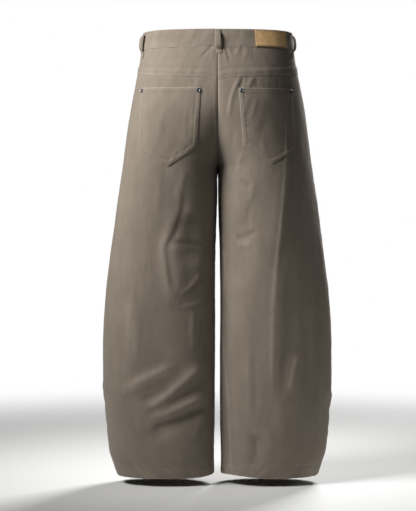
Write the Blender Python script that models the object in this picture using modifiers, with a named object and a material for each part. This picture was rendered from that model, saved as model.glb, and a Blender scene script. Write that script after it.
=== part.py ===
"""Barrel leg trousers in cotton twill, worn and hollow, as separately cut and sewn pieces.

Metres, +Z up. The back of the trousers faces -Y, their front faces +Y, and the wearer's right
is +X. The origin is the centre of the waist, halfway up the waistband. Heights in the tables
are measured up from the hem, so z = height - WAIST_HEIGHT.

Every cloth piece is a wall on one common form. The form is a leg tube for each side, given by
the sections below. Above the fork each tube is cut off at the centre plane, where the left and
right pieces are sewn together. A point on it is named by its side (-1 left, +1 right), its
turn (the angle from the inseam: 0 at the inseam, +90 degrees at the back, 180 at the outseam,
-90 degrees at the front) and its height.
"""

import math
from typing import NamedTuple

import bmesh
import bpy
import numpy as np
from mathutils import Vector
from mathutils.bvhtree import BVHTree

# Driving sizes
WAIST_HEIGHT = 0.967
FORK_HEIGHT = 0.690
HEM_LIFT = 0.006
HEM_DEPTH = 0.029
BAND_WIDTH = 0.040
WALL = 0.0015
HEM_WALL = 0.0024
SEAM_GAP = 0.0003
LAID_GAP = 0.0006

LEFT = -1
RIGHT = 1
BACK = 1
FRONT = -1
SIDES = {"left": LEFT, "right": RIGHT}


class Section(NamedTuple):
    """One level cut through a leg: its reach in each direction and how square it is."""

    height: float
    half_width: float      # centre plane to the outseam
    centre: float          # centre plane to the leg's deepest line
    inner: float           # where the tube's inner side is, or would be past the centre plane
    back: float
    front: float
    side: float            # y of the outseam and the inseam
    square: float          # 2 is an oval, more is squarer
    corner_left: float     # the same for the outer back quarter alone
    corner_right: float


SECTIONS = (
    Section(0.000, 0.2260, 0.1140, 0.0080, -0.0900, 0.0620, -0.012, 2.15, 2.15, 1.95),
    Section(0.022, 0.2335, 0.1160, 0.0082, -0.0925, 0.0650, -0.012, 2.20, 2.20, 1.92),
    Section(0.055, 0.2440, 0.1180, 0.0080, -0.0960, 0.0690, -0.012, 2.25, 2.30, 1.86),
    Section(0.123, 0.2510, 0.1200, 0.0062, -0.1000, 0.0740, -0.012, 2.25, 2.35, 1.78),
    Section(0.200, 0.2570, 0.1210, 0.0058, -0.1030, 0.0790, -0.012, 2.25, 2.40, 1.72),
    Section(0.290, 0.2565, 0.1200, 0.0056, -0.1060, 0.0850, -0.011, 2.25, 2.45, 1.68),
    Section(0.395, 0.2510, 0.1180, 0.0056, -0.1100, 0.0920, -0.010, 2.25, 2.50, 1.66),
    Section(0.505, 0.2385, 0.1140, 0.0046, -0.1165, 0.0990, -0.010, 2.25, 2.50, 1.66),
    Section(0.610, 0.2250, 0.1090, 0.0018, -0.1280, 0.1050, -0.010, 2.30, 2.55, 1.70),
    Section(0.690, 0.2125, 0.1030, 0.0003, -0.1390, 0.1090, -0.010, 2.30, 2.65, 1.74),
    Section(0.715, 0.2090, 0.0960, -0.0103, -0.1420, 0.1100, -0.010, 2.30, 2.70, 1.75),
    Section(0.760, 0.2030, 0.0750, -0.0366, -0.1475, 0.1110, -0.010, 2.30, 2.80, 1.78),
    Section(0.820, 0.1940, 0.0450, -0.0720, -0.1515, 0.1110, -0.010, 2.30, 2.90, 1.86),
    Section(0.880, 0.1830, 0.0200, -0.1150, -0.1450, 0.1090, -0.010, 2.30, 2.80, 2.02),
    Section(0.930, 0.1735, 0.0060, -0.1500, -0.1300, 0.1040, -0.008, 2.32, 2.50, 2.25),
    Section(0.965, 0.1700, 0.0000, -0.1700, -0.1190, 0.1010, -0.006, 2.35, 2.35, 2.35),
    Section(1.005, 0.1650, 0.0000, -0.1650, -0.1120, 0.0980, -0.005, 2.35, 2.35, 2.35),
)


class Fold(NamedTuple):
    """A large soft fold: a ridge between two places, or a trough if its depth is negative."""

    side: int
    face: int
    from_x: float
    from_height: float
    to_x: float
    to_height: float
    depth: float
    width: float


FOLDS = (
    # Left leg, back: slanting folds where the leg swells below the knee
    Fold(LEFT, BACK, 0.010, 0.265, 0.150, 0.150, 0.0055, 0.017),
    Fold(LEFT, BACK, 0.085, 0.250, 0.225, 0.190, 0.0045, 0.016),
    Fold(LEFT, BACK, 0.015, 0.190, 0.135, 0.128, 0.0050, 0.015),
    Fold(LEFT, BACK, 0.020, 0.158, 0.170, 0.090, -0.0045, 0.015),
    Fold(LEFT, BACK, 0.110, 0.560, 0.092, 0.370, 0.0050, 0.022),
    Fold(LEFT, BACK, 0.060, 0.600, 0.050, 0.470, -0.0060, 0.026),
    Fold(LEFT, BACK, 0.195, 0.420, 0.178, 0.240, 0.0040, 0.020),
    # Right leg, back: one long upright ridge from the pocket down, and two short ones
    Fold(RIGHT, BACK, 0.150, 0.760, 0.132, 0.470, 0.0050, 0.022),
    Fold(RIGHT, BACK, 0.136, 0.520, 0.120, 0.180, 0.0055, 0.022),
    Fold(RIGHT, BACK, 0.178, 0.290, 0.168, 0.175, 0.0040, 0.018),
    Fold(RIGHT, BACK, 0.086, 0.110, 0.080, 0.020, -0.0040, 0.015),
    Fold(RIGHT, BACK, 0.060, 0.620, 0.045, 0.420, -0.0045, 0.024),
    # Both legs, front: drag lines down from the fork and slack above the hem
    Fold(LEFT, FRONT, 0.020, 0.660, 0.140, 0.540, 0.0050, 0.020),
    Fold(RIGHT, FRONT, 0.020, 0.665, 0.150, 0.560, 0.0050, 0.020),
    Fold(LEFT, FRONT, 0.130, 0.480, 0.120, 0.220, 0.0050, 0.024),
    Fold(RIGHT, FRONT, 0.125, 0.500, 0.128, 0.200, 0.0050, 0.024),
    Fold(LEFT, FRONT, 0.030, 0.170, 0.180, 0.110, 0.0045, 0.018),
    Fold(RIGHT, FRONT, 0.200, 0.180, 0.060, 0.125, 0.0045, 0.018),
)


class SeamMark(NamedTuple):
    """A place along a seam: where it is, and how high or how far round the seam runs there."""

    at: float
    value: float


# Yoke seam: its height by distance from the centre back, a shallow V
YOKE_SEAM = (
    SeamMark(0.000, 0.8785),
    SeamMark(0.028, 0.8860),
    SeamMark(0.090, 0.8890),
    SeamMark(0.150, 0.8930),
    SeamMark(0.190, 0.8990),
)

# Inseams: how far round to the back each runs, in radians, by height
INSEAM_TWIST = {
    LEFT: (
        SeamMark(0.000, -0.20),
        SeamMark(0.350, -0.16),
        SeamMark(0.600, -0.06),
        SeamMark(0.690, 0.00),
    ),
    RIGHT: (
        SeamMark(0.000, 0.70),
        SeamMark(0.180, 0.60),
        SeamMark(0.340, 0.38),
        SeamMark(0.470, 0.50),
        SeamMark(0.600, 0.26),
        SeamMark(0.690, 0.00),
    ),
}

WAIST_SIDE_HEIGHT = 0.9470
WAIST_TILT = 0.0115
WAIST_DIP = 0.0055

LEG_ROWS = (0.0, 0.018, 0.0385, 0.046, 0.075, 0.112) + tuple(np.linspace(0.15, 0.965, 18)) + (1.0,)
RISE_ROWS = (0.045, 0.12, 0.21, 0.31, 0.42, 0.53, 0.64, 0.76, 0.88, 1.0)
COLUMNS = 15
YOKE_ROWS = 3
BAND_ROWS = 3
BAND_COLUMNS = 32

# Waistband lap at the centre front
BAND_PROUD = 0.0009
LAP_REACH = 0.018
LAP_RAMP = 0.032
LAP_LIFT = 0.0014


class PocketCut(NamedTuple):
    """A patch pocket as cut, and how far its inner edge stands from the centre plane."""

    top_height: float
    top_width: float
    foot_width: float
    side_drop: float
    tip_drop: float
    from_centre: float
    slant: float


POCKETS = {
    "left": PocketCut(0.8635, 0.146, 0.133, 0.129, 0.172, 0.036, 0.009),
    "right": PocketCut(0.8625, 0.142, 0.131, 0.126, 0.165, 0.045, 0.010),
}
POCKET_WALL = 0.0015
SEAT_GAP = 0.0004
SEAT_REACH = 0.012
SEAT_SAMPLES = 5
SEAT_PASSES = 2
POCKET_ROWS = 10
POCKET_COLUMNS = 10

RIVET_RADIUS = 0.0046
RIVET_HEIGHT = 0.0019
RIVET_INSET = 0.0065
RIVET_STEPS = 12

PATCH_FROM_X = 0.084
PATCH_TO_X = 0.1525
PATCH_EDGE = 0.0015
PATCH_WALL = 0.0014

LOOP_WIDTH = 0.012
LOOP_WALL = 0.0016


class LoopPlace(NamedTuple):
    """Where a belt loop is sewn: its side, its face, its distance from the centre, its tail."""

    side: int
    face: int
    x: float
    tail: float


LOOPS = {
    "belt_loop_back": LoopPlace(RIGHT, BACK, 0.000, 0.0135),
    "belt_loop_side_left": LoopPlace(LEFT, BACK, 0.1625, 0.0180),
    "belt_loop_side_right": LoopPlace(RIGHT, BACK, 0.1625, 0.0165),
    "belt_loop_front_left": LoopPlace(LEFT, FRONT, 0.085, 0.0140),
    "belt_loop_front_right": LoopPlace(RIGHT, FRONT, 0.085, 0.0140),
}


class LoopMark(NamedTuple):
    """A place along a belt loop's inner face: above the waist seam, and out from the form."""

    rise: float
    proud: float


LOOP_TOP = (
    LoopMark(0.0385, 0.0015),
    LoopMark(0.0320, 0.0016),
    LoopMark(0.0290, 0.0060),
    LoopMark(0.0240, 0.0084),
    LoopMark(0.0140, 0.0090),
    LoopMark(0.0050, 0.0084),
    LoopMark(-0.0010, 0.0060),
    LoopMark(-0.0045, 0.0012),
)
LOOP_TAIL_PROUD = 0.0006

SHIELD_LEFT = 0.018
SHIELD_RIGHT = 0.026
SHIELD_FOOT_HEIGHT = 0.790
SHIELD_BEHIND = 0.0032
SHIELD_WALL = 0.0015

BUTTON_RADIUS = 0.0085
BUTTON_HEIGHT = 0.0040
BUTTON_STEPS = 20


class Finish(NamedTuple):
    """A surface's colour, roughness and metallic value."""

    colour: tuple
    roughness: float
    metallic: float


TWILL = Finish((0.165, 0.135, 0.103), 0.92, 0.0)
TAN_LEATHER = Finish((0.270, 0.155, 0.075), 0.62, 0.0)
GUNMETAL = Finish((0.085, 0.090, 0.105), 0.38, 1.0)

STEP = 1e-4
ARC_SAMPLES = 240


class SmoothLine:
    """A smooth line through the rows of a table that never overshoots between two rows."""

    def __init__(self, places, values):
        self.places = np.array(places, dtype=float)
        self.values = np.array(values, dtype=float)
        gaps = np.diff(self.places)
        rises = np.diff(self.values) / gaps
        slopes = np.zeros(len(self.places))
        for row in range(1, len(self.places) - 1):
            before = rises[row - 1]
            after = rises[row]
            if before * after > 0.0:
                weight = (gaps[row] + 2.0 * gaps[row - 1]) / (3.0 * (gaps[row] + gaps[row - 1]))
                slopes[row] = before * after / (weight * after + (1.0 - weight) * before)
        slopes[0] = rises[0]
        slopes[-1] = rises[-1]
        self.slopes = slopes

    def __call__(self, where):
        where = np.asarray(where, dtype=float)
        row = np.clip(np.searchsorted(self.places, where) - 1, 0, len(self.places) - 2)
        gap = self.places[row + 1] - self.places[row]
        part = (where - self.places[row]) / gap
        square = part * part
        cube = square * part
        return (
            self.values[row] * (2.0 * cube - 3.0 * square + 1.0)
            + self.slopes[row] * gap * (cube - 2.0 * square + part)
            + self.values[row + 1] * (3.0 * square - 2.0 * cube)
            + self.slopes[row + 1] * gap * (cube - square)
        )


def column_of(table, name):
    """Make the smooth line of one named column of a table, by its first column."""
    return SmoothLine([row[0] for row in table], [getattr(row, name) for row in table])


FORM = {name: column_of(SECTIONS, name) for name in Section._fields[1:]}
YOKE_LINE = column_of(YOKE_SEAM, "value")
TWIST_LINE = {side: column_of(table, "value") for side, table in INSEAM_TWIST.items()}


def ease(low, high, value):
    """Rise smoothly from 0 at low to 1 at high."""
    part = np.clip((value - low) / (high - low), 0.0, 1.0)
    return part * part * (3.0 - 2.0 * part)


def oval_reach(side, turn, height):
    """Give how far out the section reaches at a turn, as a share of its half sizes."""
    cosine = np.cos(turn)
    sine = np.sin(turn)
    corner = FORM["corner_left" if side == LEFT else "corner_right"](height)
    square = np.where((cosine < 0.0) & (sine > 0.0), corner, FORM["square"](height))
    reach = (np.abs(cosine) ** square + np.abs(sine) ** square) ** (-1.0 / square)
    return reach * cosine, reach * sine


def form_point(side, turn, height):
    """Give points on the bare form, without folds."""
    toward_inseam, toward_back = oval_reach(side, turn, height)
    centre = FORM["centre"](height)
    middle = FORM["side"](height)
    across = np.where(toward_inseam >= 0.0, centre - FORM["inner"](height),
                      FORM["half_width"](height) - centre)
    deep = np.where(toward_back >= 0.0, middle - FORM["back"](height),
                    FORM["front"](height) - middle)
    return np.stack([side * (centre - across * toward_inseam),
                     middle - deep * toward_back,
                     height - WAIST_HEIGHT], axis=-1)


def form_normal(side, turn, height):
    """Give the outward direction of the bare form."""
    round_it = form_point(side, turn + STEP, height) - form_point(side, turn - STEP, height)
    up_it = form_point(side, turn, height + STEP) - form_point(side, turn, height - STEP)
    outward = side * np.cross(round_it, up_it)
    return outward / np.linalg.norm(outward, axis=-1, keepdims=True)


def fold_rise(side, turn, height):
    """Give how far the large folds lift the cloth off the bare form."""
    toward_back = oval_reach(side, turn, height)[1]
    x = side * form_point(side, turn, height)[..., 0]
    rise = np.zeros_like(x)
    for fold in FOLDS:
        if fold.side != side:
            continue
        run_x = fold.to_x - fold.from_x
        run_height = fold.to_height - fold.from_height
        length_squared = run_x ** 2 + run_height ** 2
        along = ((x - fold.from_x) * run_x + (height - fold.from_height) * run_height)
        along = np.clip(along / length_squared, 0.0, 1.0)
        away = np.hypot(x - fold.from_x - along * run_x,
                        height - fold.from_height - along * run_height)
        ends = ease(0.0, 0.3, along) * ease(0.0, 0.3, 1.0 - along)
        facing = ease(0.05, 0.45, fold.face * toward_back)
        rise += fold.depth * np.exp(-(away / fold.width) ** 2) * ends * facing
    return rise * ease(0.0, 0.025, x)


def cloth_point(side, turn, height, proud=0.0):
    """Give points on the folded cloth, moved out from it by proud."""
    turn, height, proud = np.broadcast_arrays(turn, np.asarray(height, dtype=float), proud)
    lift = (fold_rise(side, turn, height) + proud)[..., None]
    return form_point(side, turn, height) + form_normal(side, turn, height) * lift


def centre_turn(height, from_centre):
    """Give the turn at which the form stands from_centre away from the centre plane."""
    centre = FORM["centre"](height)
    square = FORM["square"](height)
    share = (centre - from_centre) / (centre - FORM["inner"](height))
    share = np.clip(share, 0.0, 1.0)
    return np.arctan2((1.0 - share ** square) ** (1.0 / square), share)


def inner_edge(side, face, height):
    """Give a leg panel's inner edge: the inseam, and above the fork the centre seam."""
    deep = np.where(face == BACK, FORM["side"](height) - FORM["back"](height),
                    FORM["front"](height) - FORM["side"](height))
    margin = 0.5 * SEAM_GAP / deep
    cut = centre_turn(height, 0.5 * SEAM_GAP)
    twist = np.where(height < FORK_HEIGHT, TWIST_LINE[side](height), 0.0)
    return np.where(cut > margin, face * cut, twist + face * margin)


def outer_edge(face, height):
    """Give a piece's edge at the outseam."""
    deep = FORM["side"](height) - FORM["back"](height)
    return face * (math.pi - 0.5 * SEAM_GAP / deep)


def panel_turn(side, face, share, height):
    """Give the turn a share of the way from a panel's inner edge to its outseam."""
    start = inner_edge(side, face, height)
    return start + (outer_edge(face, height) - start) * share


def waist_seam_height(side, turn):
    """Give the height of the seam under the waistband, lowest at the centre front."""
    toward_back = oval_reach(side, turn, np.full_like(turn, WAIST_SIDE_HEIGHT))[1]
    return WAIST_SIDE_HEIGHT + WAIST_TILT * toward_back - WAIST_DIP * toward_back ** 2


def seam_along(side, face, share, seam):
    """Settle a slanting seam's height at each share of a panel's width."""
    height = np.full_like(share, WAIST_SIDE_HEIGHT if seam == "waist" else YOKE_SEAM[-1].value)
    for _ in range(6):
        turn = panel_turn(side, face, share, height)
        if seam == "waist":
            height = waist_seam_height(side, turn)
        else:
            height = YOKE_LINE(np.abs(form_point(side, turn, height)[..., 0]))
    return height


def hem_height(share):
    """Give the hem's height: it rides up a little at the inseam."""
    return HEM_LIFT * (1.0 - ease(0.0, 0.4, share))


def cloth_wall(hem, height):
    """Give the wall's thickness: double where the hem is turned up."""
    above = height - hem
    return HEM_WALL + (WALL - HEM_WALL) * ease(HEM_DEPTH - 0.0005, HEM_DEPTH + 0.004, above)


def new_material(name, finish):
    """Make a Principled material for one piece."""
    material = bpy.data.materials.new(name)
    material.use_nodes = True
    shader = material.node_tree.nodes["Principled BSDF"]
    shader.inputs["Base Color"].default_value = (*finish.colour, 1.0)
    shader.inputs["Roughness"].default_value = finish.roughness
    shader.inputs["Metallic"].default_value = finish.metallic
    material.diffuse_color = (*finish.colour, 1.0)
    return material


def add_piece(name, mesh, finish, collection):
    """Put a mesh in the collection as one named piece with its own material."""
    if finish is not None:
        mesh.materials.append(new_material(name, finish))
    piece = bpy.data.objects.new(name, mesh)
    collection.objects.link(piece)
    return piece


def loft_wall(name, outer, inner, finish, collection):
    """Close a wall between an outer and an inner grid of points.

    Two panels at a seam share one direction through the cloth there, so the wall is lofted
    between the grids, and a seam stays open by the same gap on both faces.
    """
    rows, columns = outer.shape[:2]
    build = bmesh.new()
    faces_of_wall = []
    for grid in (outer, inner):
        faces_of_wall.append([[build.verts.new(point) for point in row] for row in grid])
    outside, inside = faces_of_wall
    for row in range(rows - 1):
        for column in range(columns - 1):
            for sheet in (outside, inside):
                corners = (sheet[row][column], sheet[row][column + 1],
                           sheet[row + 1][column + 1], sheet[row + 1][column])
                build.faces.new(corners)
    rim = [(0, column) for column in range(columns)]
    rim += [(row, columns - 1) for row in range(1, rows)]
    rim += [(rows - 1, column) for column in range(columns - 2, -1, -1)]
    rim += [(row, 0) for row in range(rows - 2, 0, -1)]
    for here, there in zip(rim, rim[1:] + rim[:1]):
        build.faces.new((outside[here[0]][here[1]], outside[there[0]][there[1]],
                         inside[there[0]][there[1]], inside[here[0]][here[1]]))
    bmesh.ops.recalc_face_normals(build, faces=build.faces)
    mesh = bpy.data.meshes.new(name)
    build.to_mesh(mesh)
    build.free()
    mesh.shade_smooth()
    mesh.set_sharp_from_angle(angle=math.radians(40.0))
    return add_piece(name, mesh, finish, collection)


def make_leg_panel(side_name, face, collection):
    """Make a back panel, hem to yoke seam, or a front panel, hem to waist seam."""
    side = SIDES[side_name]
    share = np.linspace(0.0, 1.0, COLUMNS + 1)
    hem = hem_height(share)
    heights = [hem + (FORK_HEIGHT - hem) * part for part in LEG_ROWS]
    hip = seam_along(side, BACK, share, "yoke") if face == BACK else YOKE_SEAM[-1].value
    top = hip - 0.5 * SEAM_GAP
    heights += [FORK_HEIGHT + (top - FORK_HEIGHT) * part for part in RISE_ROWS]
    if face == FRONT:
        waist = seam_along(side, FRONT, share, "waist") - 0.5 * SEAM_GAP
        heights += [hip + (waist - hip) * row / YOKE_ROWS for row in range(1, YOKE_ROWS + 1)]
    height = np.array([np.broadcast_to(row, share.shape) for row in heights])
    turn = panel_turn(side, face, share[None, :], height)
    outer = cloth_point(side, turn, height)
    inner = cloth_point(side, turn, height, -cloth_wall(hem[None, :], height))
    name = ("back_panel_" if face == BACK else "front_panel_") + side_name
    loft_wall(name, outer, inner, TWILL, collection)
    return outer


def make_yoke(side_name, collection):
    """Make a back yoke, between the yoke seam and the waist seam."""
    side = SIDES[side_name]
    share = np.linspace(0.0, 1.0, COLUMNS + 1)
    low = seam_along(side, BACK, share, "yoke") + 0.5 * SEAM_GAP
    high = seam_along(side, BACK, share, "waist") - 0.5 * SEAM_GAP
    height = np.array([low + (high - low) * row / YOKE_ROWS for row in range(YOKE_ROWS + 1)])
    turn = panel_turn(side, BACK, share[None, :], height)
    outer = cloth_point(side, turn, height)
    inner = cloth_point(side, turn, height, -WALL)
    return loft_wall("yoke_" + side_name, outer, inner, TWILL, collection)


def make_waistband(collection):
    """Make the waistband: one strip round the waist, its left end lapped over its right."""
    half_round = np.linspace(0.0, math.pi, BAND_COLUMNS + 1)
    half_waist = FORM["half_width"](WAIST_SIDE_HEIGHT)
    lap_turn = LAP_REACH / half_waist
    right = -0.5 * math.pi - half_round
    left = right[::-1][1:]
    under_end = np.array([-0.5 * math.pi + lap_turn, -0.5 * math.pi + 0.5 * lap_turn])
    turns = [(RIGHT, turn) for turn in under_end]
    turns += [(RIGHT, turn) for turn in right]
    turns += [(LEFT, turn) for turn in left]
    turns += [(LEFT, turn) for turn in under_end[::-1]]
    outer_rows = []
    inner_rows = []
    for row in range(BAND_ROWS + 1):
        outer_row = []
        inner_row = []
        for side, turn in turns:
            turn = np.array(turn)
            rise = 0.5 * SEAM_GAP + (BAND_WIDTH - 0.5 * SEAM_GAP) * row / BAND_ROWS
            height = waist_seam_height(side, turn) + rise
            x = side * form_point(side, turn, height)[..., 0]
            at_front = np.sin(turn) < 0.0
            lap = -side * LAP_LIFT * at_front * (1.0 - ease(LAP_REACH, LAP_REACH + LAP_RAMP, x))
            outer_row.append(cloth_point(side, turn, height, BAND_PROUD + lap))
            inner_row.append(cloth_point(side, turn, height, lap - WALL))
        outer_rows.append(outer_row)
        inner_rows.append(inner_row)
    outer = np.array(outer_rows)
    inner = np.array(inner_rows)
    return loft_wall("waistband", outer, inner, TWILL, collection)


def turn_at_x(side, face, x, height):
    """Give the turn at which the form's face stands x from the centre plane, near the waist."""
    if x == 0.0:
        return face * centre_turn(height, 0.0)
    corner = FORM["corner_left" if side == LEFT else "corner_right"](height)
    square = corner if face == BACK else FORM["square"](height)
    centre = FORM["centre"](height)
    share = (x - centre) / (FORM["half_width"](height) - centre)
    return face * np.arctan2((1.0 - share ** square) ** (1.0 / square), -share)


def make_belt_loop(name, place, collection):
    """Make a belt loop: a strap sewn down at both ends, with a belt's room behind it."""
    middle_height = np.array(WAIST_SIDE_HEIGHT + 0.5 * BAND_WIDTH)
    middle = turn_at_x(place.side, place.face, place.x, middle_height)
    seam = waist_seam_height(place.side, middle)
    marks = list(LOOP_TOP)
    marks.append(LoopMark(-0.0065, LOOP_TAIL_PROUD))
    marks.append(LoopMark(-place.tail, LOOP_TAIL_PROUD))
    path = np.array(marks)
    run = np.gradient(path, axis=0)
    run /= np.linalg.norm(run, axis=1, keepdims=True)
    outward = np.stack([run[:, 1], -run[:, 0]], axis=1)
    outer_path = path + outward * LOOP_WALL
    speed = np.linalg.norm(form_point(place.side, middle + STEP, seam)
                           - form_point(place.side, middle - STEP, seam)) / (2.0 * STEP)
    half_turn = 0.5 * LOOP_WIDTH / speed
    offsets = (-half_turn, 0.0, half_turn)
    grids = []
    for line in (outer_path, path):
        grids.append(np.array([[cloth_point(place.side, middle + offset, seam + rise, proud)
                                for offset in offsets] for rise, proud in line]))
    return loft_wall(name, grids[0], grids[1], TWILL, collection)


def turn_at_arc(side, height, from_x, arc):
    """Give the turn reached by going arc metres round the back from from_x off the centre."""
    start = centre_turn(height, 0.0)
    turns = np.linspace(start, math.pi, ARC_SAMPLES)
    points = form_point(side, turns, np.full_like(turns, height))
    lengths = np.concatenate([[0.0], np.cumsum(np.linalg.norm(np.diff(points, axis=0), axis=1))])
    start_length = np.interp(from_x, side * points[:, 0], lengths)
    return np.interp(start_length + arc, lengths, turns)


def pocket_point(side, cut, across, down, proud):
    """Give a point over the back panel at a place on a pocket's cut.

    across goes from 0 at the inner edge to 1 at the outer edge, and down from 0 at the opening
    to 1 at the pointed bottom.
    """
    drop = cut.side_drop + (cut.tip_drop - cut.side_drop) * (1.0 - np.abs(2.0 * across - 1.0))
    fall = drop * down
    part = np.minimum(fall / cut.side_drop, 1.0)
    width = cut.top_width + (cut.foot_width - cut.top_width) * part
    height = cut.top_height - fall
    turn = turn_at_arc(side, height, cut.from_centre + cut.slant * part, width * across)
    return cloth_point(side, turn, height, proud)


def facets_of(grid):
    """Make a search tree of the flat facets between a grid's points."""
    rows, columns = grid.shape[:2]
    corners = [Vector(point) for point in grid.reshape(-1, 3)]
    facets = []
    for row in range(rows - 1):
        for column in range(columns - 1):
            low = row * columns + column
            facets.append((low, low + 1, low + columns + 1))
            facets.append((low, low + columns + 1, low + columns))
    return BVHTree.FromPolygons(corners, facets)


def seat_on(facets, laid, outward):
    """Lift a laid grid's points just enough for its facets to clear those under it."""
    rows, columns = laid.shape[:2]
    lift = np.zeros((rows, columns))
    parts = np.linspace(0.0, 1.0, SEAT_SAMPLES)
    for _ in range(SEAT_PASSES):
        seated = laid + outward * lift[..., None]
        more = np.zeros_like(lift)
        for row in range(rows - 1):
            for column in range(columns - 1):
                quad = (slice(row, row + 2), slice(column, column + 2))
                way = outward[quad].mean(axis=(0, 1))
                for up in parts:
                    for over in parts:
                        share = np.outer((1.0 - up, up), (1.0 - over, over))[..., None]
                        point = (seated[quad] * share).sum(axis=(0, 1))
                        start = Vector(point + way * SEAT_REACH)
                        hit = facets.ray_cast(start, Vector(-way), 2.0 * SEAT_REACH)[0]
                        if hit is not None:
                            clear = float((point - np.array(hit)) @ way)
                            more[quad] = np.maximum(more[quad], SEAT_GAP - clear)
        lift += more
    return lift


def make_pocket(side_name, panel, collection):
    """Make a back pocket from the panel's own points, moved out, and seat it on the panel."""
    side = SIDES[side_name]
    cut = POCKETS[side_name]
    downs = np.linspace(0.0, 1.0, POCKET_ROWS + 1)
    acrosses = np.linspace(0.0, 1.0, POCKET_COLUMNS + 1)
    laid = np.array([[pocket_point(side, cut, across, down, SEAM_GAP)
                      for across in acrosses] for down in downs])
    raised = np.array([[pocket_point(side, cut, across, down, SEAM_GAP + POCKET_WALL)
                        for across in acrosses] for down in downs])
    outward = (raised - laid) / POCKET_WALL
    lift = seat_on(facets_of(panel), laid, outward)[..., None]
    return loft_wall("back_pocket_" + side_name, raised + outward * lift,
                     laid + outward * lift, TWILL, collection)


def make_patch(collection):
    """Make the bare leather patch on the waistband, right of the centre back."""
    xs = np.linspace(PATCH_FROM_X, PATCH_TO_X, 9)
    rises = np.linspace(PATCH_EDGE, BAND_WIDTH - PATCH_EDGE, 4)
    under = BAND_PROUD + LAID_GAP
    grids = []
    for proud in (under + PATCH_WALL, under):
        rows = []
        for rise in rises:
            row = []
            for x in xs:
                turn = turn_at_x(RIGHT, BACK, x, np.array(WAIST_SIDE_HEIGHT))
                height = waist_seam_height(RIGHT, turn) + rise
                row.append(cloth_point(RIGHT, turn, height, proud))
            rows.append(row)
        grids.append(np.array(rows))
    return loft_wall("leather_patch", grids[0], grids[1], TAN_LEATHER, collection)


def make_fly_shield(collection):
    """Make the shield behind the centre front seam, from the front panels' own points."""
    xs = np.concatenate([np.linspace(-SHIELD_LEFT, 0.0, 4), np.linspace(0.0, SHIELD_RIGHT, 5)[1:]])
    heights = np.linspace(SHIELD_FOOT_HEIGHT, 0.929, 8)
    grids = []
    for behind in (SHIELD_BEHIND, SHIELD_BEHIND + SHIELD_WALL):
        rows = []
        for height in heights:
            row = []
            for x in xs:
                side = LEFT if x < 0.0 else RIGHT
                turn = -centre_turn(np.array(height), abs(x))
                point = cloth_point(side, turn, height)
                row.append(point - np.array([0.0, behind, 0.0]))
            rows.append(row)
        grids.append(np.array(rows))
    return loft_wall("fly_shield", grids[0], grids[1], TWILL, collection)


def turned_mesh(name, profile, steps):
    """Turn a profile of (radius, height) points about Z into a closed mesh."""
    outline = bpy.data.meshes.new(name + "_profile")
    points = [(radius, 0.0, height) for radius, height in profile]
    edges = [(index, index + 1) for index in range(len(points) - 1)]
    outline.from_pydata(points, edges, [])
    turner = bpy.data.objects.new(name + "_profile", outline)
    bpy.context.scene.collection.objects.link(turner)
    screw = turner.modifiers.new("turned", "SCREW")
    screw.axis = "Z"
    screw.steps = steps
    screw.render_steps = steps
    screw.use_merge_vertices = True
    screw.merge_threshold = 0.00001
    graph = bpy.context.evaluated_depsgraph_get()
    mesh = bpy.data.meshes.new_from_object(turner.evaluated_get(graph))
    mesh.name = name
    bpy.data.objects.remove(turner)
    build = bmesh.new()
    build.from_mesh(mesh)
    bmesh.ops.remove_doubles(build, verts=build.verts, dist=0.00001)
    bmesh.ops.recalc_face_normals(build, faces=build.faces)
    build.to_mesh(mesh)
    build.free()
    mesh.shade_smooth()
    mesh.set_sharp_from_angle(angle=math.radians(50.0))
    return mesh


def stand_on(piece, point, outward):
    """Stand a turned piece on a point with its axis along outward."""
    piece.location = Vector(point)
    piece.rotation_euler = Vector(outward).to_track_quat("Z", "Y").to_euler()


def make_rivets(collection):
    """Make a domed rivet in each upper corner of both back pockets."""
    profile = ((0.0, RIVET_HEIGHT), (0.55 * RIVET_RADIUS, 0.88 * RIVET_HEIGHT),
               (0.9 * RIVET_RADIUS, 0.45 * RIVET_HEIGHT), (RIVET_RADIUS, 0.0), (0.0, 0.0))
    mesh = turned_mesh("rivet", profile, RIVET_STEPS)
    mesh.materials.append(new_material("rivet", GUNMETAL))
    seat = LAID_GAP + POCKET_WALL + LAID_GAP
    for side_name, side in SIDES.items():
        cut = POCKETS[side_name]
        for edge_name, across in (("inner", RIVET_INSET), ("outer", cut.top_width - RIVET_INSET)):
            height = np.array(cut.top_height - RIVET_INSET)
            turn = turn_at_arc(side, height, cut.from_centre, across)
            piece = add_piece("rivet_" + side_name + "_" + edge_name, mesh, None, collection)
            stand_on(piece, cloth_point(side, turn, height, seat),
                     form_normal(side, np.array(turn), height))


def make_button(collection):
    """Make the waist button on the lapped end of the waistband."""
    profile = ((0.0, 0.72 * BUTTON_HEIGHT), (0.70 * BUTTON_RADIUS, 0.80 * BUTTON_HEIGHT),
               (0.90 * BUTTON_RADIUS, BUTTON_HEIGHT), (BUTTON_RADIUS, 0.75 * BUTTON_HEIGHT),
               (0.94 * BUTTON_RADIUS, 0.45 * BUTTON_HEIGHT), (0.42 * BUTTON_RADIUS, 0.35 * BUTTON_HEIGHT),
               (0.38 * BUTTON_RADIUS, 0.0), (0.0, 0.0))
    mesh = turned_mesh("waist_button", profile, BUTTON_STEPS)
    piece = add_piece("waist_button", mesh, GUNMETAL, collection)
    turn = np.array(-0.5 * math.pi)
    height = waist_seam_height(LEFT, turn) + 0.5 * BAND_WIDTH
    seat = BAND_PROUD + LAP_LIFT + SEAM_GAP
    stand_on(piece, cloth_point(LEFT, turn, height, seat), form_normal(LEFT, turn, height))


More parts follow.
